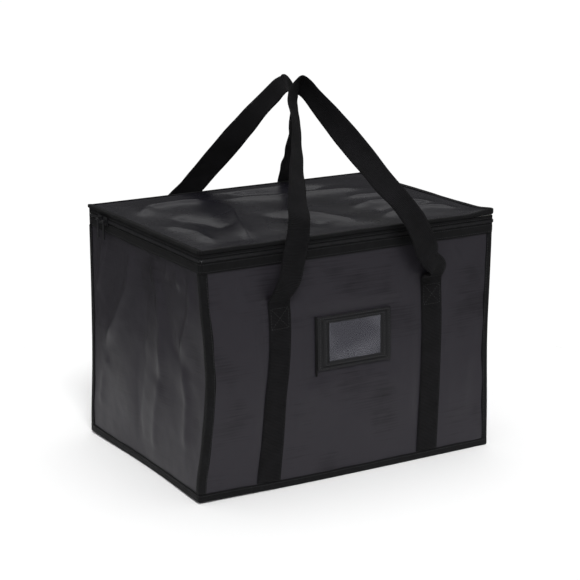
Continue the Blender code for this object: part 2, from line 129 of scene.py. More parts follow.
def coatedCloth(name, look):
    # PU-coated polyester: woven yarn under a thin plastic film, so it has a soft
    # broad sheen with faint cross lines instead of a clean gloss
    mat, tree, skin = newMaterial(name, look["dark"], Specular_IOR_Level=look["specular"],
                                  Coat_Weight=look["coat"], Coat_Roughness=0.30)
    where = addNode(tree, "UVMap").outputs["UV"]
    slow = addNode(tree, "TexNoise", {"Vector": where, "Scale": 1 / look["patch"], "Detail": 3.0})
    yarn = addNode(tree, "Mapping", {"Vector": where, "Scale": (14, 420, 1)})
    streak = addNode(tree, "TexNoise", {"Vector": yarn.outputs["Vector"], "Scale": 1.0, "Detail": 4.0})
    fleck = addNode(tree, "Math", {0: streak.outputs["Fac"], 1: 0.45, 2: 0.10}, operation="MULTIPLY_ADD")
    half = addNode(tree, "Math", {0: slow.outputs["Fac"], 1: 0.70, 2: fleck.outputs[0]},
                   operation="MULTIPLY_ADD")
    colour = ramp(tree, half.outputs[0], [(0.36, look["dark"]), (0.64, look["light"])])
    tree.links.new(colour, skin.inputs["Base Color"])
    weft = addNode(tree, "TexWave", {"Vector": where, "Scale": bandScale(look["thread"]), "Distortion": 0.6,
                                     "Detail Scale": 2.0}, bands_direction="Y")
    warp = addNode(tree, "TexWave", {"Vector": where, "Scale": bandScale(look["thread"]), "Distortion": 0.4,
                                     "Detail Scale": 2.0}, bands_direction="X")
    cross = addNode(tree, "Math", {0: weft.outputs["Fac"], 1: warp.outputs["Fac"]}, operation="MULTIPLY")
    lines = addNode(tree, "Math", {0: streak.outputs["Fac"], 1: 0.9, 2: cross.outputs[0]},
                    operation="MULTIPLY_ADD")
    fine = addNode(tree, "Bump", {"Height": lines.outputs[0], "Strength": 0.12, "Distance": 0.0003})
    skinNoise = addNode(tree, "TexNoise", {"Vector": where, "Scale": 55.0, "Detail": 5.0})
    soft = addNode(tree, "Bump", {"Height": skinNoise.outputs["Fac"], "Strength": 0.35, "Distance": 0.0012,
                                  "Normal": fine.outputs["Normal"]})
    tree.links.new(soft.outputs["Normal"], skin.inputs["Normal"])
    rough = addNode(tree, "MapRange", {"Value": slow.outputs["Fac"], "To Min": look["roughness"] - 0.06,
                                       "To Max": look["roughness"] + 0.08})
    tree.links.new(rough.outputs["Result"], skin.inputs["Roughness"])
    return mat


tapeLook = {"dark": "#030304", "light": "#0f0e11", "rib": 0.0022, "roughness": 0.72}


def ribbedTape(name, look):
    # polypropylene tape: cross ribs with a dull face and lighter rib crowns
    mat, tree, skin = newMaterial(name, look["dark"], Specular_IOR_Level=0.12, Sheen_Weight=0.02,
                                  Sheen_Roughness=0.5, Roughness=look["roughness"])
    where = addNode(tree, "UVMap").outputs["UV"]
    rib = addNode(tree, "TexWave", {"Vector": where, "Scale": bandScale(look["rib"]), "Distortion": 0.5,
                                    "Detail": 1.0, "Detail Scale": 3.0}, bands_direction="X")
    yarn = addNode(tree, "TexWave", {"Vector": where, "Scale": bandScale(look["rib"] * 0.6),
                                     "Distortion": 0.8}, bands_direction="Y")
    height = addNode(tree, "Math", {0: yarn.outputs["Fac"], 1: 0.35, 2: rib.outputs["Fac"]},
                     operation="MULTIPLY_ADD")
    wear = addNode(tree, "TexNoise", {"Vector": where, "Scale": 38.0, "Detail": 4.0})
    mix = addNode(tree, "Math", {0: rib.outputs["Fac"], 1: 0.4, 2: wear.outputs["Fac"]},
                  operation="MULTIPLY_ADD")
    tint = ramp(tree, mix.outputs[0], [(0.45, look["dark"]), (0.95, look["light"])])
    dress(tree, skin, tint, height.outputs[0], 0.9, 0.0007)
    return mat


def nylon(name, hexColour, roughness=0.42):
    # moulded or spun nylon: smooth black with a soft highlight
    mat, tree, skin = newMaterial(name, hexColour, Roughness=roughness, IOR=1.53)
    where = addNode(tree, "TexCoord").outputs["Object"]
    grain = addNode(tree, "TexNoise", {"Vector": where, "Scale": 900.0, "Detail": 3.0})
    tint = ramp(tree, grain.outputs["Fac"], [(0.3, hexColour), (0.8, "#2c2c2e")])
    dress(tree, skin, tint, grain.outputs["Fac"], 0.2, 0.0002)
    return mat


def paintedZinc():
    # die-cast zinc with black stove enamel: hard gloss, bare metal just showing on worn edges
    mat, tree, skin = newMaterial("black enamelled zinc", "#151517", Roughness=0.32, Metallic=0.15)
    where = addNode(tree, "TexCoord").outputs["Object"]
    chips = addNode(tree, "TexNoise", {"Vector": where, "Scale": 700.0, "Detail": 4.0})
    tint = ramp(tree, chips.outputs["Fac"], [(0.62, "#151517"), (0.74, "#5c5c60")])
    dress(tree, skin, tint, chips.outputs["Fac"], 0.15, 0.0002)
    return mat


def foamBeads():
    # expanded polyethylene foam: off-white, matt, with closed cells a millimetre or so across
    mat, tree, skin = newMaterial("expanded polyethylene foam", "#dcdcd6", Roughness=0.85,
                                  Subsurface_Weight=0.1, Subsurface_Scale=0.004)
    where = addNode(tree, "TexCoord").outputs["Object"]
    cells = addNode(tree, "TexVoronoi", {"Vector": where, "Scale": 700.0})
    tint = ramp(tree, cells.outputs["Distance"], [(0.1, "#c4c4bd"), (0.6, "#e8e8e4")])
    dress(tree, skin, tint, cells.outputs["Distance"], 0.5, 0.0004)
    return mat


def crinkledFoil():
    # aluminised film on foam: bright metal broken up by sharp handling creases
    mat, tree, skin = newMaterial("aluminised film", "#c9cace", Metallic=0.9, Roughness=0.3)
    where = addNode(tree, "UVMap").outputs["UV"]
    facets = addNode(tree, "TexVoronoi", {"Vector": where, "Scale": 70.0}, feature="SMOOTH_F1")
    small = addNode(tree, "TexNoise", {"Vector": where, "Scale": 160.0, "Detail": 5.0, "Distortion": 1.2})
    height = addNode(tree, "Math", {0: small.outputs["Fac"], 1: 0.5, 2: facets.outputs["Distance"]},
                     operation="MULTIPLY_ADD")
    rough = addNode(tree, "MapRange", {"Value": small.outputs["Fac"], "To Min": 0.2, "To Max": 0.42})
    tree.links.new(rough.outputs["Result"], skin.inputs["Roughness"])
    tint = ramp(tree, facets.outputs["Distance"], [(0.1, "#b4b6bb"), (0.9, "#d5d6d9")])
    dress(tree, skin, tint, height.outputs[0], 0.5, 0.002)
    return mat


def greyBoard():
    # pressed grey board: fibrous, quite matt
    mat, tree, skin = newMaterial("pressed grey board", "#6f6a62", Roughness=0.9)
    where = addNode(tree, "TexCoord").outputs["Object"]
    fibre = addNode(tree, "TexNoise", {"Vector": where, "Scale": 300.0, "Detail": 6.0})
    tint = ramp(tree, fibre.outputs["Fac"], [(0.3, "#5d5850"), (0.7, "#837d74")])
    dress(tree, skin, tint, fibre.outputs["Fac"], 0.3, 0.0003)
    return mat


def embossedVinyl():
    # calendered PVC with a fine leather grain: even black with small soft highlights
    mat, tree, skin = newMaterial("embossed vinyl", "#111112", Roughness=0.55, Specular_IOR_Level=0.22)
    where = addNode(tree, "UVMap").outputs["UV"]
    grain = addNode(tree, "TexVoronoi", {"Vector": where, "Scale": 800.0})
    tint = ramp(tree, grain.outputs["Distance"], [(0.05, "#0d0d0e"), (0.7, "#1a1a1c")])
    dress(tree, skin, tint, grain.outputs["Distance"], 0.35, 0.0003)
    return mat


def clearVinyl():
    # clear PVC film, a little cloudy: a wavy gloss over whatever lies behind it
    mat, tree, skin = newMaterial("clear vinyl film", "#55555c", Roughness=0.2, Alpha=0.66,
                                  Specular_IOR_Level=0.3, Coat_Weight=0.2, Coat_Roughness=0.1)
    where = addNode(tree, "UVMap").outputs["UV"]
    stretch = addNode(tree, "Mapping", {"Vector": where, "Scale": (0.45, 1.0, 1.0)})
    ripple = addNode(tree, "TexNoise", {"Vector": stretch.outputs["Vector"], "Scale": 24.0, "Detail": 1.0,
                                        "Distortion": 0.6})
    tint = ramp(tree, ripple.outputs["Fac"], [(0.35, "#494950"), (0.65, "#5f5f66")])
    dress(tree, skin, tint, ripple.outputs["Fac"], 0.3, 0.003)
    return mat


bodyCloth = coatedCloth("PU-coated polyester", coatedLook)
lidCloth = coatedCloth("glossy PU-coated polyester", {
    "dark": "#09080b", "light": "#15141a", "thread": 0.0018, "patch": 0.12, "roughness": 0.26, "coat": 0.05,
    "specular": 0.40})
webTape = ribbedTape("woven polypropylene webbing", tapeLook)
bindTape = ribbedTape("polypropylene binding tape", {"dark": "#060607", "light": "#0f0f11", "rib": 0.0020,
                                                      "roughness": 0.66})
zipTape = ribbedTape("knitted zip tape", {"dark": "#141415", "light": "#222225", "rib": 0.0012,
                                          "roughness": 0.8})
coilNylon = nylon("nylon monofilament", "#131315")
threadNylon = nylon("bonded nylon thread", "#1d1d20", 0.5)
blackThread = nylon("black nylon thread", "#101012", 0.6)
zinc = paintedZinc()
foam = foamBeads()
foil = crinkledFoil()
board = greyBoard()
vinyl = embossedVinyl()
film = clearVinyl()
print("materials made")


def makePiece(name, points, faces, uvs, material, body=None, slot=None, replaces=(), smooth=True):
    mesh = bpy.data.meshes.new(name)
    mesh.from_pydata([tuple(p) for p in points], [], faces)
    mesh.update()
    obj = bpy.data.objects.new(name, mesh)
    bpy.context.scene.collection.objects.link(obj)
    layer = mesh.uv_layers.new(name="metres")
    corner = np.zeros(len(mesh.loops), np.int32)
    mesh.loops.foreach_get("vertex_index", corner)
    layer.data.foreach_set("uv", np.asarray(uvs, np.float32)[corner].ravel())
    mesh.materials.append(material)
    if smooth:
        mesh.polygons.foreach_set("use_smooth", [True] * len(mesh.polygons))
    if body:
        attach(obj, body)
    if replaces:
        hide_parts(*replaces)
    return obj


def gridFaces(rows, cols, wrap=False, flip=False):
    faces = []
    last = cols if wrap else cols - 1
    for i in range(rows - 1):
        for j in range(last):
            k = (j + 1) % cols
            quad = (i * cols + j, i * cols + k, (i + 1) * cols + k, (i + 1) * cols + j)
            faces.append(quad[::-1] if flip else quad)
    return faces


def boxShape(low, high):
    points = [[(low, high)[i][0], (low, high)[j][1], (low, high)[k][2]]
              for i in (0, 1) for j in (0, 1) for k in (0, 1)]
    faces = [(0, 1, 3, 2), (4, 6, 7, 5), (0, 4, 5, 1), (2, 3, 7, 6), (0, 2, 6, 4), (1, 5, 7, 3)]
    return points, faces, [(p[0], p[2]) for p in points]


def solid(obj, thickness, offset=-1.0):
    mod = obj.modifiers.new("thickness", "SOLIDIFY")
    mod.thickness = thickness
    mod.offset = offset
    mod.use_even_offset = True
    return settle(obj)


def place(obj, body, slot, *nodes):
    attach(obj, body)
    if nodes:
        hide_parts(*nodes)
    return obj


def settle(obj):
    graph = bpy.context.evaluated_depsgraph_get()
    mesh = bpy.data.meshes.new_from_object(obj.evaluated_get(graph))
    old = obj.data
    obj.modifiers.clear()
    obj.data = mesh
    bpy.data.meshes.remove(old)
    return obj


def pointList(*parts):
    return np.stack(parts, -1).reshape(-1, len(parts))


def runAlong(points):
    # distance along a line of points, from its first one
    return np.concatenate([[0], np.cumsum(np.linalg.norm(np.diff(points, axis=0), axis=1))])


# The carrier's outline seen from above: the line that its cloth walls follow
shell = {"halfWide": 0.255, "halfDeep": 0.190, "corner": 0.0035}
straightX = 2 * (shell["halfWide"] - shell["corner"])
straightY = 2 * (shell["halfDeep"] - shell["corner"])
cornerArc = shell["corner"] * math.pi / 2
around = 2 * (straightX + straightY) + 4 * cornerArc
# Distances along it, from the back end of the left side, through the front, to the right side and back
frontStart = straightY + cornerArc
rightStart = frontStart + straightX + cornerArc
backStart = rightStart + straightY + cornerArc


def outline(s, out=0.0):
    # point and outward direction at distance s along the outline, moved out from it
    s = np.mod(np.asarray(s, float), around)
    out = np.broadcast_to(np.asarray(out, float), s.shape)
    r, a, b = shell["corner"], straightX / 2, straightY / 2
    x, y = np.zeros_like(s), np.zeros_like(s)
    nx, ny = np.zeros_like(s), np.zeros_like(s)
    legs = (
        (0.0, straightY, (-a - r, b), (0, -1), (-1, 0), (-a, -b), math.pi),
        (frontStart, straightX, (-a, -b - r), (1, 0), (0, -1), (a, -b), 1.5 * math.pi),
        (rightStart, straightY, (a + r, -b), (0, 1), (1, 0), (a, b), 0.0),
        (backStart, straightX, (a, b + r), (-1, 0), (0, 1), (-a, b), 0.5 * math.pi),
    )
    for start, length, origin, way, face, centre, angle in legs:
        on = (s >= start) & (s <= start + length)
        x[on] = origin[0] + way[0] * (s[on] - start)
        y[on] = origin[1] + way[1] * (s[on] - start)
        nx[on], ny[on] = face
        bend = (s > start + length) & (s < start + length + cornerArc)
        turn = angle + (s[bend] - start - length) / r
        nx[bend], ny[bend] = np.cos(turn), np.sin(turn)
        x[bend] = centre[0] + r * nx[bend]
        y[bend] = centre[1] + r * ny[bend]
    return x + out * nx, y + out * ny, nx, ny


def smoothNoise(u, v, seed, size):
    # the same slow random hills every run; size is how far apart they are
    flat = [noise.noise(Vector((p / size, q / size, seed * 7.3))) for p, q in zip(u.ravel(), v.ravel())]
    return np.array(flat).reshape(u.shape)


def crease(u, v, line, wide, high):
    # a soft ridge along a broken line, fading at both ends; a negative height gives a furrow
    best = np.full(u.shape, 1e9)
    along = np.zeros(u.shape)
    total = sum(math.dist(p, q) for p, q in zip(line, line[1:]))
    done = 0.0
    for (u0, v0), (u1, v1) in zip(line, line[1:]):
        du, dv = u1 - u0, v1 - v0
        length = math.hypot(du, dv)
        t = np.clip(((u - u0) * du + (v - v0) * dv) / length ** 2, 0, 1)
        away = np.hypot(u - u0 - t * du, v - v0 - t * dv)
        nearer = away < best
        best = np.where(nearer, away, best)
        along = np.where(nearer, (done + t * length) / total, along)
        done += length
    fade = np.clip(np.minimum(along, 1 - along) * 5, 0, 1)
    fade = fade * fade * (3 - 2 * fade) * 0.85 + 0.15
    return high * np.exp(0.3 - np.sqrt(0.09 + (1.7 * best / wide) ** 2)) * fade


def edgeFade(u, v, box, soft):
    # 0 at the edges of a box, 1 a soft distance inside it
    near = np.minimum.reduce([u - box[0], box[1] - u, v - box[2], box[3] - v])
    t = np.clip(near / soft, 0, 1)
    return t * t * (3 - 2 * t)


# Each panel: where it runs along the outline, its top, its spare cloth (share at the foot, how much
# more at the top, the height where that starts and over what height it grows), how far it pillows,
# and its creases (line of points along the wall and up it, width, height). Points are measured from
# the panel's first corner and up from the floor, in metres
walls = {
    "left": {
        "span": (-cornerArc / 2, straightY + cornerArc / 2), "top": 0.3505, "seed": 1,
        "slack": (0.25, 0.75, 0.12, 0.12),
        "pillow": 0.0022,
        "creases": [
            (((0.213, 0.349), (0.240, 0.290), (0.243, 0.225), (0.236, 0.150)), 0.013, 0.0046),
            (((0.252, 0.349), (0.262, 0.290), (0.276, 0.225), (0.300, 0.190)), 0.012, -0.0034),
            (((0.345, 0.349), (0.338, 0.290), (0.318, 0.245), (0.292, 0.205)), 0.012, 0.0044),
            (((0.158, 0.349), (0.140, 0.280), (0.095, 0.215), (0.050, 0.165)), 0.016, 0.0044),
            (((0.190, 0.349), (0.196, 0.300), (0.186, 0.230), (0.178, 0.150)), 0.014, -0.0030),
            (((0.060, 0.349), (0.040, 0.285), (0.022, 0.240)), 0.011, 0.0034),
            (((0.098, 0.349), (0.086, 0.290), (0.050, 0.235)), 0.014, -0.0026),
            (((0.300, 0.350), (0.306, 0.310)), 0.006, 0.0026),
            (((0.283, 0.350), (0.285, 0.312)), 0.005, -0.0020),
            (((0.272, 0.350), (0.264, 0.315)), 0.005, 0.0022),
            (((0.236, 0.350), (0.230, 0.322)), 0.005, 0.0020),
            (((0.325, 0.350), (0.330, 0.325)), 0.004, 0.0016),
            (((0.178, 0.200), (0.170, 0.102), (0.166, 0.030)), 0.018, -0.0026),
            (((0.300, 0.195), (0.316, 0.140), (0.322, 0.060)), 0.018, 0.0030),
            (((0.238, 0.160), (0.226, 0.100), (0.218, 0.030)), 0.020, 0.0024),
            (((0.066, 0.150), (0.040, 0.110), (0.030, 0.050)), 0.016, 0.0020),
        ],
    },
    "front": {
        "span": (frontStart - cornerArc / 2, frontStart + straightX + cornerArc / 2),
        "top": 0.3505, "seed": 2,
        "slack": (0.20, 0.25, 0.25, 0.08),
        "pillow": 0.0030,
        "creases": [
            (((0.0585, 0.330), (0.0610, 0.300)), 0.004, 0.0012),
            (((0.1120, 0.350), (0.1130, 0.318)), 0.005, 0.0014),
            (((0.1240, 0.350), (0.1235, 0.312)), 0.005, 0.0016),
            (((0.4300, 0.350), (0.4350, 0.328), (0.4480, 0.308)), 0.0055, 0.0020),
            (((0.3700, 0.340), (0.3550, 0.300), (0.3600, 0.270)), 0.016, -0.0014),
            (((0.1500, 0.170), (0.2300, 0.100), (0.2900, 0.050)), 0.030, 0.0012),
            (((0.4780, 0.175), (0.4600, 0.110), (0.4580, 0.060)), 0.018, 0.0012),
        ],
    },
    "right": {
        "span": (rightStart - cornerArc / 2, rightStart + straightY + cornerArc / 2),
        "top": 0.3505, "seed": 3,
        "slack": (0.25, 0.75, 0.12, 0.12),
        "pillow": 0.0022,
        "creases": [
            (((0.060, 0.345), (0.080, 0.290), (0.130, 0.230)), 0.013, 0.0030),
            (((0.150, 0.345), (0.148, 0.280), (0.160, 0.200)), 0.014, 0.0032),
            (((0.105, 0.345), (0.110, 0.290)), 0.010, -0.0020),
            (((0.240, 0.345), (0.225, 0.280), (0.190, 0.220)), 0.014, 0.0030),
            (((0.290, 0.345), (0.300, 0.260), (0.296, 0.160)), 0.016, 0.0024),
            (((0.200, 0.200), (0.205, 0.100), (0.212, 0.030)), 0.020, 0.0018),
        ],
    },
    "back": {
        "span": (backStart - cornerArc / 2, backStart + straightX + cornerArc / 2),
        "top": 0.3640, "seed": 4,
        "slack": (0.20, 0.25, 0.25, 0.08),
        "pillow": 0.0030,
        "creases": [
            (((0.060, 0.350), (0.085, 0.300), (0.090, 0.220)), 0.012, 0.0022),
            (((0.250, 0.355), (0.245, 0.290), (0.260, 0.200)), 0.020, 0.0016),
            (((0.440, 0.350), (0.420, 0.290), (0.425, 0.210)), 0.012, 0.0022),
            (((0.200, 0.160), (0.260, 0.100), (0.330, 0.060)), 0.030, 0.0014),
        ],
    },
}
wallCloth = {"low": 0.0010, "step": 0.005, "thick": 0.0009, "soft": 0.025, "proud": 0.0095, "deep": 1.35,
             "hug": 0.06}         # how strongly the foam behind holds a panel to its shape
waiting = []


def wallPanel(side):
    spec = walls[side]
    s0, s1 = spec["span"]
    cols, rows = int((s1 - s0) / wallCloth["step"]) + 1, int(spec["top"] / wallCloth["step"]) + 1
    s = np.linspace(s0, s1, cols)
    z = np.linspace(wallCloth["low"], spec["top"], rows)
    ss, zz = np.meshgrid(s, z)
    u = ss - (s0 + cornerArc / 2)
    inner = (0.0, s1 - s0 - cornerArc, 0.0, spec["top"])
    rise = spec["pillow"] * edgeFade(u, zz, inner, 0.10)
    for line, wide, high in spec["creases"]:
        rise = rise + wallCloth["deep"] * crease(u, zz, line, wide, high)
    rise = rise + 0.0022 * smoothNoise(u, zz, spec["seed"], 0.085)
    rise = rise + 0.0005 * smoothNoise(u, zz, spec["seed"] + 10, 0.020)
    calm = strapCalm(side, u, zz)
    loose = edgeFade(u, zz, inner, wallCloth["soft"]) * calm
    foot, more, start, grow = spec["slack"]
    slack = foot + more * np.clip((zz - start) / grow, 0, 1)
    rise = np.clip(rise * loose, -0.0003, wallCloth["proud"])
    x, y, nx, ny = outline(ss, rise)
    points = pointList(x, y, zz)
    obj = makePiece("cloth_" + side, points, gridFaces(rows, cols),
                    pointList(ss, zz), bodyCloth)
    edge = np.clip(np.minimum.reduce([u, inner[1] - u, zz, spec["top"] - zz]) / 0.010, 0, 1)
    flatX, flatY, _, _ = outline(ss, 0.0)
    waiting.append({
        "obj": obj, "held": 1 - np.ravel(edge * calm) * (1 - wallCloth["hug"]),
        "slack": np.ravel(loose * slack),
        "flat": pointList(flatX, flatY, zz), "low": -0.0003, "high": wallCloth["proud"],
        "face": pointList(nx, ny, 0 * nx), "thick": wallCloth["thick"],
        "body": "carrier", "slot": "coated_cloth", "node": "outer_" + side,
        "sheet": {"flat": (s1 - s0, spec["top"]), "held": "stretched", "rests_on": ["foam_" + side]},
    })


def buckle(jobs, frames=26):
    # cloth simulation: each panel has more cloth than its frame has room for, so it wrinkles
    for job in jobs:
        obj = job["obj"]
        for key in ("held", "slack"):
            group = obj.vertex_groups.new(name=key)
            for i, weight in enumerate(job[key]):
                if weight > 0.001:
                    group.add([i], float(weight), "REPLACE")
        mod = obj.modifiers.new("cloth", "CLOTH")
        mod.settings.quality = 5
        mod.settings.mass = 0.2
        mod.settings.tension_stiffness = mod.settings.compression_stiffness = 20
        mod.settings.shear_stiffness = 10
        mod.settings.bending_stiffness = 1.2
        mod.settings.tension_damping = mod.settings.compression_damping = 12
        mod.settings.air_damping = 6
        mod.settings.vertex_group_mass = "held"
        mod.settings.vertex_group_shrink = "slack"
        mod.settings.shrink_min = 0.0
        mod.settings.shrink_max = -0.04     # cut up to this much larger than its frame
        mod.settings.effector_weights.gravity = 0.0
        mod.collision_settings.use_collision = False
    for number in range(1, frames + 1):
        bpy.context.scene.frame_set(number)
    for job in jobs:
        settle(job["obj"])
    bpy.context.scene.frame_set(1)


def finishPanel(job):
    # keep the cloth off the foam and inside its allowance, smooth it and give it thickness
    obj = job["obj"]
    obj.vertex_groups.clear()
    points = np.zeros(len(obj.data.vertices) * 3)
    obj.data.vertices.foreach_get("co", points)
    points = points.reshape(-1, 3)
    rise = ((points - job["flat"]) * job["face"]).sum(1, keepdims=True)
    points += job["face"] * (np.clip(rise, job["low"], job["high"]) - rise)
    obj.data.vertices.foreach_set("co", points.ravel())
    smooth = obj.modifiers.new("smooth", "SUBSURF")
    smooth.levels = 1
    settle(obj)
    solid(obj, job["thick"])
    place(obj, job["body"], job["slot"], job["node"])


# Where the straps and the card pocket are, along a panel and up it, in metres
heldDown = {"straps": (0.1140, 0.3900), "strapHalf": 0.020, "strapTop": 0.300,
            "pocket": (straightX / 2, 0.216), "pocketHalf": (0.068, 0.043)}


def strapCalm(side, u, z):
    # the sewn straps and the card pocket hold the cloth down
    calm = np.ones(u.shape)
    if side in ("left", "right"):
        return calm
    for middle in heldDown["straps"]:
        away = np.clip((np.abs(u - middle) - heldDown["strapHalf"]) / 0.015, 0, 1)
        calm = np.minimum(calm, np.where(z < heldDown["strapTop"], away, 1.0))
    if side == "front":
        (pu, pz), (halfU, halfZ) = heldDown["pocket"], heldDown["pocketHalf"]
        away = np.maximum(np.abs(u - pu) - halfU, np.abs(z - pz) - halfZ)
        calm = np.minimum(calm, np.clip(away / 0.02, 0, 1))
    return calm


for side in walls:
    wallPanel(side)
print("wall cloth laid out")


def tapeProfile(inner, outer, low, high, crown=0.0002, seams=()):
    # outside face from bottom to top, then back down the inside; seams press small channels in
    steps = 12
    face = []
    for i in range(steps + 1):
        t = i / steps
        out = outer - crown + crown * math.sin(math.pi * t) ** 0.5
        for seam in seams:
            out -= 0.00035 * math.exp(-((t - seam) / 0.05) ** 2)
        if i in (0, steps):
            out -= (outer - inner) * 0.35      # the tape's edges are thinner
        face.append((out, low + (high - low) * t))
    return face + [(inner, high), (inner, (low + high) / 2), (inner, low)]


def bandPiece(name, profile, s0, s1, material, closed=False, wander=None, **more):
    s = np.linspace(s0, s1, int((s1 - s0) / 0.004) + 1)
    for start in (straightY, frontStart + straightX, rightStart + straightY, backStart + straightX):
        s = np.concatenate([s, np.linspace(start, start + cornerArc, 6)])
    s = np.unique(np.round(s[(s >= s0) & (s <= s1)], 6))
    if closed:
        s = s[:-1]
    profile = np.asarray(profile)
    k = len(profile)
    ss = np.repeat(s, k).reshape(-1, k)
    out = np.tile(profile[:, 0], (len(s), 1))
    z = np.tile(profile[:, 1], (len(s), 1))
    if wander:
        out, z = wander(ss, out, z)
    x, y, _, _ = outline(ss, out)
    points = pointList(x, y, z)
    girth = runAlong(profile)
    uvs = pointList(ss, np.tile(girth, (len(s), 1)))
    faces = gridFaces(len(s), k, wrap=True, flip=True)
    if closed:
        base = (len(s) - 1) * k
        for j in range(k):
            m = (j + 1) % k
            faces.append((base + m, m, j, base + j))
    else:
        faces.append(tuple(range(k)))
        faces.append(tuple(range((len(s) - 1) * k, len(s) * k))[::-1])
    return makePiece(name, points, faces, uvs, material, **more)


stitch = {"length": 0.0030, "gap": 0.0012, "radius": 0.00028}


def stitchRow(name, points, faces, material, body, slot, radius=stitch["radius"]):
    # thread lying on the surface: points along the row and the way the surface faces at each
    points, faces = np.asarray(points, float), np.asarray(faces, float)
    run = runAlong(points)
    length = stitch["length"]
    starts = np.arange(0, run[-1] - length, length + stitch["gap"])

    def at(t, values):
        return np.stack([np.interp(t, run, values[:, i]) for i in range(3)], -1)

    a, b = at(starts, points), at(starts + length, points)
    out = at(starts + length / 2, faces)
    out /= np.linalg.norm(out, axis=1, keepdims=True)
    way = b - a
    long = np.linalg.norm(way, axis=1, keepdims=True)
    way /= long
    side = np.cross(way, out)
    verts, quads = [], []
    rings = ((0.0, 0.35, -0.6), (0.22, 1.0, 0.15), (0.78, 1.0, 0.15), (1.0, 0.35, -0.6))
    for along, fat, lift in rings:
        centre = a + way * long * along + out * radius * lift
        for i in range(5):
            angle = i * 2 * math.pi / 5
            verts.append(centre + out * (radius * fat * math.cos(angle))
                         + side * (radius * fat * math.sin(angle)))
    count = len(starts)
    verts = np.stack(verts, 1).reshape(-1, 3)      # stitch by stitch, 20 points each
    each = len(rings) * 5
    shape = gridFaces(len(rings), 5, wrap=True) + [(4, 3, 2, 1, 0), tuple(range(each - 5, each))]
    for n in range(count):
        quads += [tuple(n * each + i for i in f) for f in shape]
    uvs = np.zeros((len(verts), 2))
    uvs[:, 0] = verts[:, 0]
    uvs[:, 1] = verts[:, 2]
    return makePiece(name, verts, quads, uvs, material, body=body, slot=slot)


def outlineRow(s0, s1, out, z, wander=None):
    s = np.arange(s0, s1, 0.002)
    o, h = np.full(s.shape, out), np.full(s.shape, z)
    if wander:
        o, h = wander(s[:, None], o[:, None], h[:, None])
        o, h = o[:, 0], h[:, 0]
    x, y, nx, ny = outline(s, o)
    return np.stack([x, y, h], -1), np.stack([nx, ny, np.zeros_like(nx)], -1)


zipStart = shell["halfDeep"] - shell["corner"] - 0.176      # the zip's tapes stop short of the back
zipEnd = rightStart + straightY - zipStart

trims = {
    "base": {"inner": 0.0003, "outer": 0.0017, "low": 0.0004, "high": 0.0124},
    "rim": {"inner": 0.0008, "outer": 0.0021, "low": 0.34745, "high": 0.36345},
    "skirt": {"inner": 0.0008, "outer": 0.0020, "low": 0.36925, "high": 0.3754},
    "lidEdge": {"inner": 0.0008, "outer": 0.0034, "low": 0.3757, "high": 0.3812},
    "corner": {"leg": 0.0070, "outer": 0.0015, "low": 0.0127, "high": 0.3473, "seam": 0.0048},
}


def baseWander(s, out, z):
    wave = smoothNoise(s, 0 * s, 21, 0.05)
    top = np.clip((z - 0.004) / 0.008, 0, 1)
    return out + 0.0004 * wave * top, z + 0.0006 * smoothNoise(s, 0 * s, 22, 0.03) * top


def rimWander(s, out, z):
    low = np.clip((0.3600 - z) / 0.012, 0, 1)
    return (out + 0.0010 * np.clip(smoothNoise(s, 0 * s, 31, 0.045), 0, 1) * low,
            z + 0.0009 * smoothNoise(s, 0 * s, 32, 0.05) * low)


def lidWander(s, out, z):
    high = np.clip((z - 0.3745) / 0.004, 0, 1)
    lift = cornerLift(*outline(s, out)[:2])
    return (out + 0.0004 * smoothNoise(s, 0 * s, 41, 0.03) * high,
            z + high * (0.0006 * smoothNoise(s, 0 * s, 42, 0.04) + lift))


def cornerLift(x, y):
    # the front right corner of the lid curls up
    away = np.hypot(x - shell["halfWide"], y + shell["halfDeep"])
    return 0.0050 * np.exp(-(away / 0.030) ** 2)


t = trims["base"]
bandPiece("base_trim", tapeProfile(t["inner"], t["outer"], t["low"], t["high"], seams=(0.78,)), 0, around,
          bindTape, closed=True, wander=baseWander, body="carrier", slot="binding_tape",
          replaces=["base_binding"])
t = trims["rim"]
bandPiece("rim_trim", tapeProfile(t["inner"], t["outer"], t["low"], t["high"], seams=(0.16, 0.84)),
          zipStart, zipEnd, bindTape, wander=rimWander, body="carrier", slot="binding_tape",
          replaces=["rim_band"])
t = trims["skirt"]
bandPiece("lid_skirt_tape", tapeProfile(t["inner"], t["outer"], t["low"], t["high"], seams=(0.3,)),
          zipStart, zipEnd, bindTape, body="lid", slot="binding_tape", replaces=["lid_skirt"])
bandPiece("zip_tape_low", tapeProfile(-0.0002, 0.0006, 0.3508, 0.36635, crown=0.0001), zipStart, zipEnd,
          zipTape, body="carrier", slot="zip_tape", replaces=["zip_tape_lower"])
bandPiece("zip_tape_high", tapeProfile(-0.0002, 0.0006, 0.36695, 0.3754, crown=0.0001), zipStart, zipEnd,
          zipTape, body="lid", slot="zip_tape", replaces=["zip_tape_upper"])
t = trims["lidEdge"]
rollProfile = [(t["inner"], 0.3758), (0.0016, 0.3757), (0.0026, 0.3759), (0.0033, 0.3768), (0.0034, 0.3782),
               (0.0034, 0.3795), (0.0031, 0.3806), (0.0023, 0.3812), (0.0012, 0.3812), (-0.0020, 0.3809),
               (-0.0050, 0.3805), (-0.0052, 0.3801), (-0.0010, 0.3801), (0.0008, 0.3798)]
lidBindStart = shell["halfDeep"] - shell["corner"] - 0.1865
bandPiece("lid_edge_tape", rollProfile, lidBindStart, rightStart + straightY - lidBindStart, bindTape,
          wander=lidWander, body="lid", slot="binding_tape", replaces=["lid_binding"])

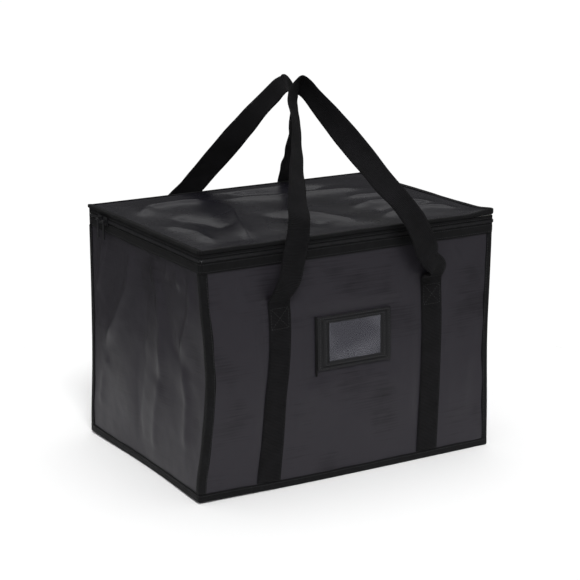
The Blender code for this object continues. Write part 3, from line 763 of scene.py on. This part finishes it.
rows = (
    ("stitch_base", (0.0, around, trims["base"]["outer"], 0.0098), baseWander, "carrier"),
    ("stitch_rim_low", (zipStart, zipEnd, trims["rim"]["outer"] - 0.0002, 0.3500), rimWander, "carrier"),
    ("stitch_rim_high", (zipStart, zipEnd, trims["rim"]["outer"] - 0.0002, 0.3609), rimWander, "carrier"),
    ("stitch_skirt", (zipStart, zipEnd, trims["skirt"]["outer"] - 0.0002, 0.3712), None, "lid"),
)
for name, (s0, s1, out, z), wander, body in rows:
    stitchRow(name, *outlineRow(s0, s1, out, z, wander), threadNylon, body, slot="binding_tape")


def cornerTrim(name, middle, node, seed):
    t = trims["corner"]
    s = middle + np.concatenate([np.linspace(-t["leg"] - cornerArc / 2, -cornerArc / 2, 7),
                                 np.linspace(-cornerArc / 2, cornerArc / 2, 7)[1:-1],
                                 np.linspace(cornerArc / 2, t["leg"] + cornerArc / 2, 7)])
    z = np.linspace(t["low"], t["high"], 90)
    ss, zz = np.meshgrid(s, z)
    side = np.abs(ss - middle) / (t["leg"] + cornerArc / 2)
    out = t["outer"] - 0.0007 * side ** 6 + 0.0006 * smoothNoise(0 * ss, zz, seed, 0.05) * side
    ss = ss + 0.0024 * smoothNoise(0 * ss, zz, seed + 5, 0.045) * side
    x, y, _, _ = outline(ss, out)
    points = pointList(x, y, zz)
    uvs = pointList(zz, ss)
    obj = makePiece(name, points, gridFaces(len(z), len(s)), uvs, bindTape)
    place(solid(obj, 0.0010), "carrier", "binding_tape", node)
    zs = np.arange(t["low"] + 0.002, t["high"] - 0.002, 0.002)
    for tag, away in (("a", -1), ("b", 1)):
        sx = middle + away * (t["seam"] + cornerArc / 2)
        x, y, nx, ny = outline(np.full(zs.shape, sx), t["outer"] - 0.0002)
        stitchRow(name + "_stitch_" + tag, np.stack([x, y, zs], -1), np.stack([nx, ny, 0 * nx], -1),
                  threadNylon, "carrier", slot="binding_tape")


for tag, end, seed in (("front_left", straightY, 51), ("front_right", frontStart + straightX, 52),
                       ("back_right", rightStart + straightY, 53), ("back_left", -cornerArc, 54)):
    cornerTrim("corner_tape_" + tag, end + cornerArc / 2, "corner_binding_" + tag, seed)


def zipCorner(name, side, low, high, body):
    # a folded scrap of tape closes the corner behind each end of the zip
    middle = -cornerArc / 2 if side < 0 else rightStart + straightY + cornerArc / 2
    s = middle - side * np.linspace(0.0, 0.0150, 8)
    z = np.linspace(low, high, 6)
    ss, zz = np.meshgrid(np.sort(s), z)
    x, y, _, _ = outline(ss, 0.0008 + 0.0002 * smoothNoise(ss, zz, 66, 0.006))
    obj = makePiece(name, pointList(x, y, zz), gridFaces(len(z), 8),
                    pointList(zz, ss), bindTape)
    place(solid(obj, 0.0009), body, "binding_tape")


for side, tag in ((-1, "left"), (1, "right")):
    zipCorner("zip_end_low_" + tag, side, 0.3480, 0.3663, "carrier")
    zipCorner("zip_end_high_" + tag, side, 0.3671, 0.3757, "lid")
print("bands made")


zipTeeth = {"pitch": 0.0021, "wide": 0.00085, "outFrom": 0.0012, "outTo": 0.0034}


def toothRow(name, offset, low, high, body, node):
    s = np.arange(zipStart + 0.001 + offset, zipEnd - 0.001, zipTeeth["pitch"])
    w = zipTeeth["wide"] / 2
    o0, o1 = zipTeeth["outFrom"], zipTeeth["outTo"]
    tip = 0.25 * (high - low)
    ringShape = ((o0, low, 1.0), (o1 - 0.0005, low, 0.9), (o1, low + 0.0005, 0.7), (o1, high - tip, 0.7),
                 (o1 - 0.0005, high, 0.9), (o0, high, 1.0))
    verts, uvs = [], []
    for out, z, fat in ringShape:
        for sign in (-1, 1):
            x, y, _, _ = outline(s + sign * w * fat, out)
            verts.append(np.stack([x, y, np.full(s.shape, z)], -1))
            uvs.append(np.stack([s + sign * w, np.full(s.shape, z)], -1))
    verts = np.stack(verts, 1).reshape(-1, 3)
    uvs = np.stack(uvs, 1).reshape(-1, 2)
    shape = [(i, i + 1, i + 3, i + 2) for i in range(0, 10, 2)]
    shape += [(10, 11, 1, 0), (0, 2, 4, 6, 8, 10), (11, 9, 7, 5, 3, 1)]
    faces = [tuple(n * 12 + i for i in f) for n in range(len(s)) for f in shape]
    return makePiece(name, verts, faces, uvs, coilNylon, body=body, slot="nylon_coil", replaces=[node],
                     smooth=False)


toothRow("zip_coil_low", 0.0, 0.36405, 0.36700, "carrier", "zip_coil_lower")
toothRow("zip_coil_high", zipTeeth["pitch"] / 2, 0.36600, 0.36895, "lid", "zip_coil_upper")
for node in ("zip_stop_left", "zip_stop_right"):
    frame["nodes"][node].data.materials.clear()
    frame["nodes"][node].data.materials.append(coilNylon)
for node in ("zip_slider_front", "zip_slider_rear", "zip_pull_front", "zip_pull_rear"):
    frame["nodes"][node].data.materials.clear()
    frame["nodes"][node].data.materials.append(zinc)
print("zip made")


strap = {"wide": 0.038, "thick": 0.0016, "wallY": 0.1911, "across": 11, "steps": 6}
# Middle line of each handle from its left foot to its right foot, and the way its outer edge points
frontLoop = (
    ((-.131, -.196, .296), (-1, 0, 0)), ((-.1305, -.206, .307), (-1, 0, .04)),
    ((-.123, -.2135, .3265), (-1, 0, .12)), ((-.121, -.219, .3495), (-1, 0, .16)),
    ((-.118, -.2215, .371), (-1, .03, .18)), ((-.115, -.224, .393), (-1, .03, .18)),
    ((-.111, -.22, .4175), (-.98, -.1, .2)), ((-.098, -.194, .438), (-.92, -.31, .23)),
    ((-.082, -.1655, .4605), (-.86, -.45, .26)), ((-.0665, -.139, .4815), (-.79, -.55, .27)),
    ((-.051, -.113, .5), (-.73, -.62, .27)), ((-.039, -.092, .518), (-.71, -.65, .27)),
    ((-.03, -.071, .535), (-.7, -.66, .28)), ((-.0215, -.052, .55), (-.75, -.59, .29)),
    ((-.011, -.0365, .562), (-.72, -.59, .36)), ((.001, -.0255, .571), (-.5, -.6, .62)),
    ((.0115, -.02, .5755), (-.12, -.52, .85)), ((.018, -.029, .569), (.06, -.62, .78)),
    ((.0225, -.045, .556), (.14, -.68, .72)), ((.027, -.062, .5425), (.24, -.71, .66)),
    ((.032, -.08, .528), (.42, -.62, .66)), ((.042, -.12, .4965), (.68, -.28, .6)),
    ((.0515, -.159, .4655), (.86, 0, .5)), ((.059, -.19, .441), (.89, .1, .44)),
    ((.068, -.213, .422), (.91, .12, .4)), ((.0835, -.225, .396), (.96, .08, .27)),
    ((.098, -.2255, .37), (1, .02, .1)), ((.11, -.222, .3475), (1, -.03, .03)),
    ((.123, -.2165, .327), (1, .3, 0)), ((.1345, -.2125, .315), (1, .5, 0)),
    ((.1402, -.2045, .305), (1, .2, 0)), ((.1405, -.196, .296), (1, 0, 0)),
)
rearLoop = (
    ((-.1405, .196, .296), (-1, 0, 0)), ((-.1402, .205, .3055), (-1, 0, .05)),
    ((-.134, .213, .3155), (-1, 0, .12)), ((-.122, .2175, .3265), (-.97, 0, .27)),
    ((-.103, .2215, .343), (-.88, 0, .47)), ((-.08, .2215, .364), (-.78, .02, .62)),
    ((-.06, .214, .384), (-.73, .05, .68)), ((-.05, .195, .406), (-.72, .09, .69)),
    ((-.0425, .1725, .429), (-.7, .16, .69)), ((-.0345, .15, .4515), (-.63, .29, .67)),
    ((-.0265, .1285, .474), (-.5, .5, .62)), ((-.0185, .107, .496), (-.32, .76, .54)),
    ((-.011, .0855, .5175), (-.2, .88, .43)), ((-.003, .0645, .539), (-.1, .94, .34)),
    ((.0045, .049, .5545), (-.05, .94, .36)), ((.01, .0385, .565), (.05, .87, .5)),
    ((.0175, .0335, .57), (.28, .78, .56)), ((.03, .045, .5585), (.55, .75, .36)),
    ((.044, .062, .5415), (.63, .77, .13)), ((.0575, .084, .519), (.62, .78, -.06)),
    ((.0695, .1065, .496), (.6, .78, -.17)), ((.0815, .128, .4745), (.64, .74, -.2)),
    ((.092, .148, .454), (.72, .66, -.2)), ((.1035, .1685, .4325), (.82, .54, -.18)),
    ((.115, .193, .408), (.91, .38, -.14)), ((.121, .211, .384), (.97, .2, -.08)),
    ((.125, .219, .36), (.99, .06, -.03)), ((.129, .217, .336), (1, 0, 0)),
    ((.131, .208, .312), (1, 0, 0)), ((.1305, .196, .296), (1, 0, 0)),
)
# Height and middle of each sewn strap, from the base up: they were not stitched quite straight
sewn = {
    "frontLeft": ((.0130, -.1445), (.0700, -.1415), (.1400, -.1398), (.1900, -.1345), (.2350, -.1306),
                  (.2650, -.1298), (.2880, -.1304)),
    "frontRight": ((.0130, .1370), (.0600, .1385), (.1000, .1402), (.1500, .1420), (.2100, .1432),
                   (.2550, .1420), (.2880, .1408)),
    "backLeft": ((.0130, -.1370), (.0800, -.1380), (.1500, -.1410), (.2200, -.1398), (.2880, -.1404)),
    "backRight": ((.0130, .1445), (.0800, .1420), (.1500, .1366), (.2200, .1322), (.2880, .1306)),
}


def catmull(points, steps):
    points = np.asarray(points, float)
    out = []
    for i in range(len(points) - 1):
        p0 = points[max(i - 1, 0)]
        p1, p2 = points[i], points[i + 1]
        p3 = points[min(i + 2, len(points) - 1)]
        for j in range(steps):
            t = j / steps
            out.append(0.5 * (2 * p1 + (p2 - p0) * t + (2 * p0 - 5 * p1 + 4 * p2 - p3) * t ** 2
                              + (3 * p1 - p0 - 3 * p2 + p3) * t ** 3))
    out.append(points[-1])
    return np.array(out)


def strapPiece(name, sign, left, loop, right, nodes):
    wall = sign * strap["wallY"]
    path = [((x, wall, z), (-1, 0, 0)) for z, x in left] + list(loop)
    path += [((x, wall, z), (1, 0, 0)) for z, x in right[::-1]]
    centre = catmull([p for p, _ in path], strap["steps"])
    edge = catmull([e for _, e in path], strap["steps"])
    way = np.gradient(centre, axis=0)
    way /= np.linalg.norm(way, axis=1, keepdims=True)
    edge -= way * (edge * way).sum(1, keepdims=True)
    edge /= np.linalg.norm(edge, axis=1, keepdims=True)
    face = np.cross(way, edge)
    run = runAlong(centre)
    half, thick = strap["wide"] / 2, strap["thick"] / 2
    spread = np.linspace(-1, 1, strap["across"])
    section = [(half * a, thick * (1.0 if abs(a) < 0.93 else 0.55)) for a in spread]
    section += [(half * a, -thick * (1.0 if abs(a) < 0.93 else 0.55)) for a in spread[::-1]]
    free = np.clip((centre[:, 2] - 0.32) / 0.06, 0, 1)[:, None]
    # the free part cups a little across its width and ripples along it
    cup = [(a, b + 0.0016 * ((a / half) ** 2 - 0.4)) for a, b in section]
    points = []
    for (a, b), (_, c) in zip(section, cup):
        ripple = 0.0007 * np.sin(run * 95 + a * 60)[:, None] * free
        points.append(centre + edge * a + face * (b + (c - b) * free + ripple))
    points = np.stack(points, 1)
    uvs = np.stack([np.repeat(run, len(section)), np.tile([a + half for a, _ in section], len(run))], -1)
    faces = gridFaces(len(run), len(section), wrap=True)
    faces += [tuple(range(len(section)))[::-1],
              tuple(range((len(run) - 1) * len(section), len(run) * len(section)))]
    obj = makePiece(name, points.reshape(-1, 3), faces, uvs, webTape, slot="webbing", replaces=nodes)
    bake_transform(obj)


strapPiece("front_strap", -1, sewn["frontLeft"], frontLoop, sewn["frontRight"],
           ["front_handle", "webbing_front_left", "webbing_front_right"])
strapPiece("rear_strap", 1, sewn["backLeft"], rearLoop, sewn["backRight"],
           ["rear_handle", "webbing_back_left", "webbing_back_right"])


def boxStitch(name, middle, sign):
    # a box with a cross in it, where each strap leaves the wall
    w, low, high = 0.0150, 0.250, 0.281
    y = sign * (strap["wallY"] + strap["thick"] / 2)
    lines = [((-w, low), (w, low)), ((w, low), (w, high)), ((w, high), (-w, high)), ((-w, high), (-w, low)),
             ((-w, low), (w, high)), ((w, low), (-w, high))]
    for i, ((x0, z0), (x1, z1)) in enumerate(lines):
        ends = np.array([[middle + x0, y, z0], [middle + x1, y, z1]])
        stitchRow(f"{name}_{i}", ends, np.array([[0, sign, 0]] * 2), blackThread, "carrier", slot="webbing",
                  radius=0.00026)


for name, middle, sign in (("box_front_left", -0.1302, -1), ("box_front_right", 0.1420, -1),
                           ("box_back_left", -0.1402, 1), ("box_back_right", 0.1314, 1)):
    boxStitch(name, middle, sign)
print("straps made")


pocket = {"x": (-0.066, 0.065), "z": (0.175, 0.257), "windowX": (-0.044, 0.047), "windowZ": (0.187, 0.246)}


def ringPoints(x0, x1, z0, z1, r, y, per=14):
    # a rectangle with rounded corners, with per points along each straight side
    pts = []
    corners = (((x1 - r, z0 + r), -0.5), ((x1 - r, z1 - r), 0.0),
               ((x0 + r, z1 - r), 0.5), ((x0 + r, z0 + r), 1.0))
    for i, ((cx, cz), start) in enumerate(corners):
        for j in range(5):
            a = math.pi * (start + 0.5 * j / 4)
            pts.append((cx + r * math.cos(a), y, cz + r * math.sin(a)))
        nx, nz = corners[(i + 1) % 4][0]
        p0 = np.array(pts[-1])
        a = math.pi * corners[(i + 1) % 4][1]
        p1 = np.array((nx + r * math.cos(a), y, nz + r * math.sin(a)))
        for j in range(1, per):
            pts.append(tuple(p0 + (p1 - p0) * j / per))
    return pts


def pocketFrame():
    (x0, x1), (z0, z1) = pocket["x"], pocket["z"]
    (a0, a1), (b0, b1) = pocket["windowX"], pocket["windowZ"]
    rings = []
    # share of the way from the outer edge to the window, and depth of the surface there
    for t, y in ((0.0, -0.1916), (0.0, -0.1930), (0.03, -0.1938), (0.08, -0.1940), (0.34, -0.1940),
                 (0.38, -0.1937), (0.40, -0.1926), (0.45, -0.1926), (0.47, -0.1937), (0.51, -0.1940),
                 (0.76, -0.1940), (0.81, -0.1937), (0.84, -0.1924), (0.98, -0.1921), (1.0, -0.1916)):
        rings.append(ringPoints(x0 + (a0 - x0) * t, x1 + (a1 - x1) * t, z0 + (b0 - z0) * t,
                                z1 + (b1 - z1) * t, 0.0016 * (1 - t) + 0.0008 * t, y))
    k = len(rings[0])
    pts = np.array(rings).reshape(-1, 3)
    faces = gridFaces(len(rings), k, wrap=True)
    for j in range(k):
        m = (j + 1) % k
        faces.append((m, j, (len(rings) - 1) * k + j, (len(rings) - 1) * k + m))
    return makePiece("pocket_frame", pts, faces, pts[:, [0, 2]], vinyl, body="carrier", slot="pocket_vinyl",
                     replaces=["card_pocket_frame"])


def flatSheet(name, x0, x1, z0, z1, y, thick, wave, material, slot, node, marks=()):
    xs, zs = np.linspace(x0, x1, 240), np.linspace(z0, z1, 150)
    xx, zz = np.meshgrid(xs, zs)
    yy = y - wave * smoothNoise(xx, zz * 2.2, 61, 0.030) * edgeFade(xx, zz, (x0, x1, z0, z1), 0.008)
    for cx, cz, size, high in marks:
        away = np.hypot(xx - cx, zz - cz)
        yy = yy - high * np.exp(-((away - size) / 0.0006) ** 2)
    pts = pointList(xx, yy, zz)
    obj = makePiece(name, pts, gridFaces(len(zs), len(xs)), pts[:, [0, 2]], material)
    place(solid(obj, thick), "carrier", slot, node)


pocketFrame()
flatSheet("pocket_backing", *pocket["x"], *pocket["z"], -0.1912, 0.0007, 0.0, bodyCloth, "pocket_vinyl",
          "card_pocket_back")
flatSheet("pocket_window", pocket["x"][0] + 0.004, pocket["x"][1] - 0.004, pocket["z"][0] + 0.004,
          pocket["z"][1] - 0.004, -0.1918, 0.0003, 0.0004, film, "clear_vinyl", "card_window",
          marks=((-0.0315, 0.2310, 0.0018, 0.0003), (0.0390, 0.2280, 0.0018, 0.0003),
                 (-0.0063, 0.2180, 0.0010, 0.0004)))
# the open end of the pocket, where the card goes in: the opening is real, but the near-black box put in it
# is painted shade standing in for the shadow inside the gap
makePiece("pocket_slot_painted_shade", *boxShape((-0.0692, -0.1926, 0.1670), (-0.0658, -0.1914, 0.2585)), bindTape,
          body="carrier", slot="pocket_vinyl")

for tag, t, y in (("outer", 0.20, -0.1940), ("inner", 0.64, -0.1940)):
    (x0, x1), (z0, z1) = pocket["x"], pocket["z"]
    (a0, a1), (b0, b1) = pocket["windowX"], pocket["windowZ"]
    ring = ringPoints(x0 + (a0 - x0) * t, x1 + (a1 - x1) * t, z0 + (b0 - z0) * t, z1 + (b1 - z1) * t,
                      0.0012, y)
    ring.append(ring[0])
    stitchRow("pocket_stitch_" + tag, np.array(ring), np.array([[0, -1.0, 0]] * len(ring)), threadNylon,
              "carrier", slot="pocket_vinyl")
print("pocket made")


lid = {"x": 0.2556, "front": -0.1906, "back": 0.1885, "top": 0.3798, "step": 0.005, "thick": 0.0009,
       "foam": 0.0080, "film": 0.0007, "hem": 0.013, "inset": 0.0022}
# Ridges and dips of the lid: line of (x, y) points, width, height
lidFolds = [
    (((-0.225, 0.060), (-0.190, 0.110), (-0.130, 0.120), (-0.070, 0.105)), 0.016, 0.0060),
    (((-0.160, -0.165), (-0.142, -0.120), (-0.120, -0.060), (-0.085, 0.020), (-0.065, 0.100)),
     0.013, 0.0055),
    (((-0.070, 0.105), (0.020, 0.080), (0.110, 0.075), (0.190, 0.060)), 0.020, 0.0048),
    (((-0.040, 0.150), (0.060, 0.125), (0.150, 0.120)), 0.020, -0.0060),
    (((-0.190, 0.030), (-0.160, -0.020), (-0.150, -0.080)), 0.022, -0.0050),
    (((-0.060, -0.020), (-0.020, -0.080), (-0.010, -0.140)), 0.024, -0.0042),
    (((-0.020, -0.010), (0.020, -0.070), (0.040, -0.140)), 0.014, 0.0036),
    (((0.090, -0.135), (0.140, -0.100), (0.200, -0.105), (0.235, -0.140)), 0.012, 0.0042),
    (((0.080, -0.060), (0.130, -0.030), (0.190, -0.045), (0.225, -0.085)), 0.013, 0.0040),
    (((0.100, -0.095), (0.160, -0.068), (0.215, -0.082)), 0.013, -0.0040),
    (((0.120, 0.020), (0.180, 0.010), (0.225, -0.020)), 0.012, 0.0036),
    (((-0.226, -0.010), (-0.205, -0.080), (-0.212, -0.150)), 0.012, 0.0038),
    (((-0.110, 0.165), (0.000, 0.155), (0.140, 0.160)), 0.016, 0.0030),
]


def lidHeight(x, y):
    h = 0.0010 * edgeFade(x, y, (-lid["x"], lid["x"], lid["front"], lid["back"]), 0.10)
    for line, wide, high in lidFolds:
        h = h + crease(x, y, line, wide, high)
    return h + 0.0012 * smoothNoise(x, y, 71, 0.07)


def lidSheet(name, inset, drop, material, depth, rough=0.0):
    x1, y0, y1 = lid["x"] - inset, lid["front"] + inset, lid["back"] - inset
    xs = np.linspace(-x1, x1, int(2 * x1 / lid["step"]) + 1)
    ys = np.linspace(y0, y1, int((y1 - y0) / lid["step"]) + 1)
    xx, yy = np.meshgrid(xs, ys)
    hem = lid["hem"]
    keep = edgeFade(xx, yy, (hem - lid["x"], lid["x"] - hem, hem + lid["front"], lid["back"] - hem), 0.030)
    rise = depth * lidHeight(xx, yy) * keep
    if inset < 0.001:
        rise = rise + cornerLift(xx, yy)
    if rough:
        rise = rise + rough * smoothNoise(xx, yy, 73, 0.022) * keep
    flat = np.stack([xx, yy, np.full(xx.shape, lid["top"] - drop)], -1).reshape(-1, 3)
    pts = flat + pointList(0 * rise, 0 * rise, rise)
    obj = makePiece(name, pts, gridFaces(len(ys), len(xs)), pts[:, :2], material)
    edge = np.clip(np.minimum.reduce([xx + x1, x1 - xx, yy - y0, y1 - yy]) / (hem + 0.004), 0, 1)
    return obj, pts, 1 - np.ravel(edge) * (1 - wallCloth["hug"]), np.ravel(keep)


top, flat, held, loose = lidSheet("lid_cloth", 0.0, 0.0, lidCloth, 1.0)
waiting.append({
    "obj": top, "held": held, "slack": loose * 0.8, "flat": flat, "low": -0.0010, "high": 0.0050,
    "face": np.tile([0, 0, 1.0], (len(flat), 1)), "thick": lid["thick"], "body": "lid", "slot": "lid_cloth",
    "node": "lid_outer", "sheet": {"flat": (2 * lid["x"], lid["back"] - lid["front"]), "held": "stretched",
                                   "rests_on": ["lid_padding"]},
})
buckle(waiting)
print("cloth simulated")
for job in waiting:
    finishPanel(job)
pad, _, _, _ = lidSheet("lid_padding", lid["inset"], 0.0030, foam, 0.75)
place(solid(pad, lid["foam"] - 0.0020), "lid", "pe_foam", "lid_foam")
under, _, _, _ = lidSheet("lid_lining", lid["inset"], 0.0098, foil, 0.7, rough=0.0006)
place(solid(under, lid["film"]), "lid", "foil_lining", "lid_liner")


def hingeCloth():
    path = [(0.1909, 0.3478), (0.1911, 0.3560), (0.1912, 0.3640), (0.1914, 0.3680), (0.1912, 0.3720),
            (0.1905, 0.3760), (0.1896, 0.3788), (0.1878, 0.3803), (0.1850, 0.3807), (0.1820, 0.3806)]
    line = catmull(path, 3)
    xs = np.linspace(-0.2515, 0.2515, 120)
    xx = np.tile(xs, (len(line), 1))
    yy = np.repeat(line[:, 0], len(xs)).reshape(xx.shape)
    zz = np.repeat(line[:, 1], len(xs)).reshape(xx.shape)
    yy = yy + 0.0005 * smoothNoise(xx, zz, 81, 0.03) * np.clip((zz - 0.352) / 0.01, 0, 1)
    pts = pointList(xx, yy, zz)
    run = runAlong(line)
    uvs = np.stack([pts[:, 0], np.repeat(run, len(xs))], -1)
    obj = makePiece("hinge_cloth", pts, gridFaces(len(line), len(xs), flip=True), uvs, bindTape)
    solid(obj, 0.0009)
    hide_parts("lid_hinge_tape")
    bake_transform(obj)
    return obj


hingeCloth()
print("lid made")


def slab(name, low, high, round_, material, slot, node):
    # a board with softened edges, cut fine enough to follow the carrier's settled shape
    obj = makePiece(name, *boxShape(low, high), material)
    bevel = obj.modifiers.new("edges", "BEVEL")
    bevel.width = round_
    bevel.segments = 2
    settle(obj)
    shape = bmesh.new()
    shape.from_mesh(obj.data)
    longEdges = [e for e in shape.edges if e.calc_length() > 0.1]
    bmesh.ops.subdivide_edges(shape, edges=longEdges, cuts=24, use_grid_fill=True)
    shape.to_mesh(obj.data)
    shape.free()
    return place(obj, "carrier", slot, node)


for side in ("front", "back", "left", "right", "base"):
    low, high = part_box("foam_" + side)
    slab("padding_" + side, low, high, 0.0012, foam, "pe_foam", "foam_" + side)


def liningSheet(side):
    low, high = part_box("liner_" + side)
    along = 1 if side in ("left", "right") else 0
    up = 1 if side == "base" else 2
    face = {"front": (1, 1), "back": (1, -1), "left": (0, 1), "right": (0, -1), "base": (2, 1)}[side]
    us = np.linspace(low[along], high[along], int((high[along] - low[along]) / 0.005) + 1)
    vs = np.linspace(low[up], high[up], int((high[up] - low[up]) / 0.005) + 1)
    uu, vv = np.meshgrid(us, vs)
    keep = edgeFade(uu, vv, (low[along], high[along], low[up], high[up]), 0.02)
    wave = (0.0016 * np.abs(smoothNoise(uu, vv, 91 + face[0], 0.035))
            + 0.0006 * smoothNoise(uu, vv, 95, 0.012))
    depth = np.clip(wave, 0, 0.003) * keep * face[1]
    pts = np.zeros(uu.shape + (3,))
    pts[..., along], pts[..., up] = uu, vv
    pts[..., face[0]] = (high if face[1] > 0 else low)[face[0]] + depth
    flip = (side in ("front", "right"))
    obj = makePiece("lining_" + side, pts.reshape(-1, 3), gridFaces(len(vs), len(us), flip=flip),
                    pointList(uu, vv), foil)
    place(solid(obj, 0.0006), "carrier", "foil_lining", "liner_" + side)


for side in ("front", "back", "left", "right", "base"):
    liningSheet(side)
slab("stiff_base", *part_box("base_board"), 0.0004, board, "base_board", "base_board")
low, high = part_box("outer_base")
xs, ys = np.linspace(low.x, high.x, 100), np.linspace(low.y, high.y, 76)
xx, yy = np.meshgrid(xs, ys)
zz = 0.0002 + 0.0006 * np.clip(smoothNoise(xx, yy, 97, 0.05), 0, 1)
pts = pointList(xx, yy, zz)
floorCloth = makePiece("cloth_base", pts, gridFaces(len(ys), len(xs), flip=True), pts[:, :2], bodyCloth)
place(solid(floorCloth, 0.0007), "carrier", "coated_cloth", "outer_base")
print("inside made")


studio = {"floor": "#fdfdfd", "world": "#ffffff", "dim": 0.02, "bright": 0.50, "backdrop": 1.02, "key": 2.0,
          "overhead": 1.0, "back": 2.2, "reach": 0.72}


def stageFloor():
    turns = [2 * math.pi * i / 96 for i in range(96)]
    verts = [(studio["reach"] * math.cos(a), studio["reach"] * math.sin(a), 0) for a in turns]
    mat, tree, skin = newMaterial("white paper floor", studio["floor"], Roughness=0.9,
                                  Specular_IOR_Level=0.2)
    grain = addNode(tree, "TexNoise", {"Scale": 400.0})
    bump = addNode(tree, "Bump", {"Height": grain.outputs["Fac"], "Strength": 0.02, "Distance": 0.0005})
    tree.links.new(bump.outputs["Normal"], skin.inputs["Normal"])
    obj = makePiece("paper_floor", verts, [tuple(range(96))], [v[:2] for v in verts], mat)


def lamp(name, kind, at, power, **shape):
    data = bpy.data.lights.new(name, kind)
    data.energy = power
    for key, value in shape.items():
        setattr(data, key, value)
    obj = bpy.data.objects.new(name, data)
    bpy.context.scene.collection.objects.link(obj)
    obj.location = at
    obj.rotation_euler = (Vector((0, 0, 0.2)) - Vector(at)).to_track_quat("-Z", "Y").to_euler()


stageFloor()
world = bpy.data.worlds.new("studio air")
bpy.context.scene.world = world
world.use_nodes = True
air = world.node_tree
way = addNode(air, "TexCoord")
# the studio is bright behind the viewer and dim behind the carrier
towards = addNode(air, "VectorMath", {0: way.outputs["Generated"], 1: (-0.49, -0.84, 0.22)},
                  operation="DOT_PRODUCT")
glow = addNode(air, "MapRange", {"Value": towards.outputs["Value"], "From Min": -1.0, "From Max": 1.0,
                                 "To Min": studio["dim"], "To Max": studio["bright"]})
path = addNode(air, "LightPath")
seen = addNode(air, "MapRange", {"Value": path.outputs["Is Camera Ray"], "To Min": glow.outputs["Result"],
                                 "To Max": studio["backdrop"]})
air.links.new(seen.outputs["Result"], air.nodes["Background"].inputs["Strength"])
air.nodes["Background"].inputs["Color"].default_value = toLinear(studio["world"])
lamp("key", "SUN", (-0.9, -2.2, 3.0), studio["key"], angle=math.radians(22))
lamp("overhead", "SUN", (0.3, 0.4, 3.0), studio["overhead"], angle=math.radians(50))
lamp("back", "AREA", (0.7, 1.7, 1.5), studio["back"], shape="RECTANGLE", size=2.4, size_y=0.6)
bpy.context.scene.view_settings.view_transform = "Standard"     # paper white stays white

camData = bpy.data.cameras.new("camera")
camData.sensor_width = 36.0
camData.lens = 110.8
camData.clip_start, camData.clip_end = 0.05, 50.0
cam = bpy.data.objects.new("camera", camData)
bpy.context.scene.collection.objects.link(cam)
cam.location = (-1.3831, -2.3632, 0.9672)
cam.rotation_euler = (math.radians(75.27), math.radians(0.22), math.radians(-30.45))
bpy.context.scene.camera = cam
print("studio made")

# Used and folded many times, the carrier has settled: where each pull is centred, how far it
# reaches along x, y and z, and how far it moves the cloth
settled = (
    ((-0.255, -0.190, 0.185), (0.150, 0.150, 0.110), (0.0070, -0.0070, 0.0)),
    ((-0.255, -0.190, 0.000), (0.110, 0.110, 0.080), (-0.0060, 0.0050, 0.0022)),
    ((-0.255, 0.190, 0.000), (0.110, 0.110, 0.090), (-0.0060, 0.0030, 0.0026)),
    ((0.060, -0.190, 0.150), (0.150, 0.060, 0.120), (0.0, -0.0035, 0.0)),
    ((0.255, -0.190, 0.180), (0.100, 0.100, 0.100), (-0.0030, 0.0020, 0.0)),
    ((0.255, 0.020, 0.180), (0.080, 0.140, 0.110), (0.0050, 0.0, 0.0)),
    ((0.0, 0.190, 0.170), (0.200, 0.080, 0.110), (0.0, 0.0040, 0.0)),
    ((-0.255, 0.080, 0.120), (0.080, 0.120, 0.090), (-0.0030, 0.0, 0.0)),
)
settleTop, settleFade = 0.352, 0.05      # nothing moves above this height, and little just below it


def settleShape(points):
    move = np.zeros_like(points)
    for centre, reach, pull in settled:
        away = ((points - np.array(centre)) / np.array(reach)) ** 2
        move += np.exp(-away.sum(1, keepdims=True)) * np.array(pull)
    # the zip, the lid and everything above stay where the frame has them, and the base stays flat
    x, y, z = points.T
    calm = np.clip((settleTop - z) / settleFade, 0, 1)
    calm = calm * calm * (3 - 2 * calm)
    inside = np.minimum(shell["halfWide"] - np.abs(x), shell["halfDeep"] - np.abs(y))
    outer = np.clip(1 - (inside - 0.012) / 0.02, 0, 1)
    move[:, 2] *= outer
    return points + move * calm[:, None]


for obj in bpy.context.scene.objects:
    if obj.type != "MESH" or obj.name in frame["nodes"] or obj.name == "paper_floor":
        continue
    shape = np.zeros(len(obj.data.vertices) * 3)
    obj.data.vertices.foreach_get("co", shape)
    obj.data.vertices.foreach_set("co", settleShape(shape.reshape(-1, 3)).ravel())
    obj.data.update()
print("shape settled")
